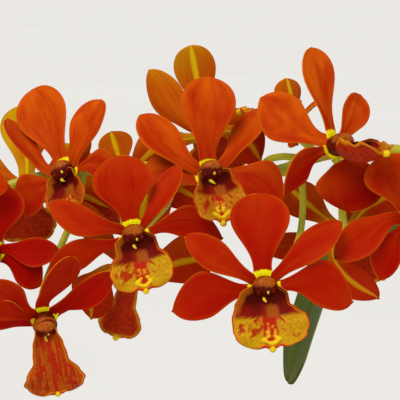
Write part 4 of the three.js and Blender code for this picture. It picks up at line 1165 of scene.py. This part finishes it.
def make_pot():
    shoulder = POT_HEIGHT - POT_RIM_HEIGHT
    corners = [
        ((0, 0), 0), ((POT_BASE, 0), 1.6), ((pot_radius(shoulder), shoulder), 0.8),
        ((POT_RIM, shoulder), 1.6), ((POT_RIM, POT_HEIGHT), 2.2),
        ((POT_TOP - POT_WALL + 1.2, POT_HEIGHT), 1.6),
        ((pot_radius(POT_FLOOR) - POT_WALL, POT_FLOOR), 4.0), ((0, POT_FLOOR), 0),
    ]
    profile = [corners[0][0]]
    for k in range(1, len(corners) - 1):
        point, radius = corners[k]
        profile += rounded(point, corners[k - 1][0], corners[k + 1][0], radius)
    profile.append(corners[-1][0])
    fuller = [profile[0]]
    for here, after in zip(profile[1:-1], profile[2:-1]):
        count = max(1, int(math.dist(here, after) / POT_RING_GAP))
        fuller += [mix(np.array(here), np.array(after), k / count) for k in range(count)]
    fuller += [profile[-2], profile[-1]]
    wobble = chance(5).normal(0, 1, 64)
    worked = []
    for r, z in fuller:
        if r > pot_radius(z) - 2 and 3 < z < POT_HEIGHT - 4:
            r = r + 0.10 * np.interp(z, np.linspace(0, POT_HEIGHT, 64), wobble) - 0.12
        worked.append((max(r, 0), z))
    points, faces = turned_shell(worked, 160)
    build = Build()
    build.add(points, faces)
    pot = build.make("pot_clay", "pot", [POT])
    for k in range(DRAIN_HOLES):
        turn = 2 * math.pi * (k + 0.5) / DRAIN_HOLES
        spot = np.array([DRAIN_REACH * math.cos(turn), DRAIN_REACH * math.sin(turn), 0])
        points, faces, _ = tube([(0, 0, -2), (0, 0, POT_FLOOR + 2)], [DRAIN_RADIUS] * 2, 32)
        mesh = bpy.data.meshes.new("drill")
        mesh.from_pydata(((points + spot) * MM).tolist(), [],
                         [face for part in faces for face in part.tolist()])
        cutter = bpy.data.objects.new("drill", mesh)
        bpy.context.scene.collection.objects.link(cutter)
        cut = pot.modifiers.new("hole", "BOOLEAN")
        cut.operation = "DIFFERENCE"
        cut.solver = "EXACT"
        cut.object = cutter
        bpy.context.view_layer.update()
        done = bpy.data.meshes.new_from_object(pot.evaluated_get(bpy.context.evaluated_depsgraph_get()))
        pot.modifiers.clear()
        pot.data = done
        bpy.data.objects.remove(cutter)
    return pot


CHIP_RINGS = ((14, 6), (26, 11), (38, 15), (47, 17))
CRUMBS = 230
CRUMB_REACH = 52
STEM_ROOM = 7.5
BARK_BODY = BARK_LEVEL - 1.5
SQUARE = ((-1, -1), (1, -1), (1, 1), (-1, 1))
BOX = np.array([[x, y, z] for z in (-1, 1) for x, y in SQUARE])


def box_grid(cuts):
    """Points and faces of a cube from -1 to 1 with its sides cut into squares."""
    lookup, points, faces = {}, [], []
    for axis, sign, a, b in itertools.product(range(3), (-1, 1), range(cuts), range(cuts)):
        quad = []
        for i, j in SQUARE:
            spot = [0, 0, 0]
            spot[axis] = sign * cuts
            spot[(axis + 1) % 3] = 2 * a + 1 + i - cuts
            spot[(axis + 2) % 3] = 2 * b + 1 + j - cuts
            key = tuple(spot)
            if key not in lookup:
                lookup[key] = len(points)
                points.append([s / cuts for s in spot])
            quad.append(lookup[key])
        faces.append(quad if sign > 0 else quad[::-1])
    return np.array(points), np.array(faces)


def pose_of(x, y, z):
    return about(0, x) @ about(1, y) @ about(2, z)


def add_chip(build, corners, turn, shift, dice, cuts):
    """A worn chip between eight corners, flaked in layers."""
    unit_box, faces = box_grid(cuts)
    share = (unit_box + 1) / 2
    points = np.prod(np.where(BOX[:, None] > 0, share, 1 - share), axis=2).T @ corners
    round_off = np.linalg.norm(unit_box, axis=1) / math.sqrt(3)
    points *= (1.04 - 0.16 * round_off ** 3)[:, None]
    phase = dice.uniform(0, 6.28, 4)
    layers = np.round(points[:, 2] * 1.3 + 0.4 * np.sin(points[:, 0] * 0.6 + phase[0])) / 1.3
    widest = max(np.abs(points[:, 0]).max(), 1)
    edge = np.abs(unit_box[:, :2]).max(axis=1) > 0.99
    step = 0.25 * np.sin(layers * 5 + phase[1]) * edge
    ridges = 0.22 * np.sin(points[:, 1] * 3.1 + phase[2] + 0.5 * np.sin(points[:, 0] * 0.8 + phase[3]))
    flat = np.abs(unit_box[:, 2]) > 0.99
    local = points.copy()
    points[:, 2] += np.where(flat, ridges * np.sign(unit_box[:, 2]), 0)
    points[:, :2] *= (1 + step / widest)[:, None]
    points += dice.normal(0, 0.10, points.shape)
    tone, seed = dice.uniform(0, 1), dice.uniform(0, 90)
    build.add(points @ turn.T + shift, [faces], local, (tone, seed, 0))


def make_bark():
    def inner(z):
        return pot_radius(z) - POT_WALL - 0.4

    build = Build()
    bottom = POT_FLOOR + 0.3
    body = [(0, bottom), (inner(bottom), bottom), (inner(60), 60), (inner(BARK_BODY), BARK_BODY)]
    body += [(r, BARK_BODY + 0.6 * math.sin(r)) for r in (44, 36, 28, 20, 12, 6)]
    body.append((0, BARK_BODY))
    points, faces = turned_shell(body, 64)
    build.add(points, faces, points, (0.0, 5.0, 0))
    state = [7]

    def random():
        state[0] = (state[0] * 1664525 + 1013904223) % 4294967296
        return state[0] / 4294967296

    dice = chance(77)
    for ring, count in CHIP_RINGS:
        for k in range(count):
            turn = 2 * math.pi * (k + random() * 0.5) / count
            reach = ring + (random() - 0.5) * 3
            half = [mix(5, 8.5, random()), mix(3.5, 5.5, random()), mix(2, 3.6, random())]
            worn = [[mix(0.62, 1, random()) for _ in half] for _ in BOX]
            corners = BOX * half * worn
            pose = pose_of((random() - 0.5) * 0.9, (random() - 0.5) * 0.7, random() * math.pi)
            shift = np.array([reach * math.cos(turn), reach * math.sin(turn), BARK_LEVEL + random() * 2.2])
            reach_out = np.linalg.norm((corners @ pose.T + shift)[:, :2], axis=1).max()
            limit = inner(BARK_LEVEL + 2)
            if reach_out > limit:
                shift[:2] *= 1 - (reach_out - limit) / np.linalg.norm(shift[:2])
            add_chip(build, corners, pose, shift, dice, 6)
    # small pieces and crumbs that fill the gaps between the chips
    for _ in range(CRUMBS):
        turn, reach = dice.uniform(0, 6.283), CRUMB_REACH * math.sqrt(dice.uniform(0.03, 1))
        size = dice.uniform(0.8, 2.6)
        half = np.array([size * dice.uniform(1.1, 2.0), size, size * dice.uniform(0.4, 0.8)])
        corners = BOX * half * dice.uniform(0.6, 1, BOX.shape)
        pose = pose_of(dice.uniform(-0.7, 0.7), dice.uniform(-0.7, 0.7), dice.uniform(0, math.pi))
        shift = np.array([reach * math.cos(turn), reach * math.sin(turn),
                          BARK_LEVEL + dice.uniform(-0.6, 1.6)])
        if np.linalg.norm(shift[:2]) < STEM_ROOM:
            continue
        add_chip(build, corners, pose, shift, dice, 2)
    return build.make("bark_mix", "bark", [BARK])


# Assembly

make_pot()
make_bark()
make_stem()
for number, path in enumerate(ROOT_PATHS, 1):
    make_root(number, path)
for number, leaf in enumerate(LEAVES, 1):
    make_leaf(number, leaf)
make_spike()
for number, bloom in enumerate(BLOOMS, 1):
    make_petals(number, bloom)
    make_lip(number, bloom)
for number, bud in enumerate(BUDS, 1):
    make_bud(number, bud)


# Floor, light and camera

FLOOR_HALF = 60.0
floor_mesh = bpy.data.meshes.new("floor")
floor_mesh.from_pydata([(x * FLOOR_HALF, y * FLOOR_HALF, 0) for x, y in SQUARE], [], [(0, 1, 2, 3)])
floor_mesh.materials.append(floor_look())
floor = bpy.data.objects.new("floor", floor_mesh)
bpy.context.scene.collection.objects.link(floor)


def add_sun(name, toward, energy, angle, colour):
    """A distant soft light that shines from the given direction."""
    lamp = bpy.data.lights.new(name, "SUN")
    lamp.energy = energy
    lamp.angle = math.radians(angle)
    lamp.color = colour
    holder = bpy.data.objects.new(name, lamp)
    holder.rotation_mode = "QUATERNION"
    holder.rotation_quaternion = Vector(toward).to_track_quat("Z", "Y")
    bpy.context.scene.collection.objects.link(holder)


add_sun("key_light", (-0.35, -0.55, 0.80), 2.3, 30, (1.0, 0.97, 0.92))
add_sun("fill_light", (0.70, -0.65, 0.35), 0.55, 60, (1.0, 0.98, 0.96))

world = bpy.data.worlds.new("studio")
bpy.context.scene.world = world
world.use_nodes = True
world.node_tree.nodes["Background"].inputs["Color"].default_value = (0.93, 0.93, 0.93, 1)
world.node_tree.nodes["Background"].inputs["Strength"].default_value = 0.49

VIEW_DISTANCE = 480.0
VIEW_TILT = math.radians(8)
VIEW_WIDTH = 111.0
SENSOR = 36
forward = np.array([0, math.cos(VIEW_TILT), -math.sin(VIEW_TILT)])
lens = bpy.data.cameras.new("camera")
lens.sensor_width = SENSOR
lens.lens = SENSOR * VIEW_DISTANCE / VIEW_WIDTH
lens.clip_start = 0.01
lens.clip_end = 200
camera = bpy.data.objects.new("camera", lens)
camera.location = Vector(((SPRAY_ORIGIN - forward * VIEW_DISTANCE) * MM).tolist())
camera.rotation_mode = "QUATERNION"
camera.rotation_quaternion = Vector(forward.tolist()).to_track_quat("-Z", "Y")
bpy.context.scene.collection.objects.link(camera)
bpy.context.scene.camera = camera
bpy.context.scene.view_settings.view_transform = "Standard"
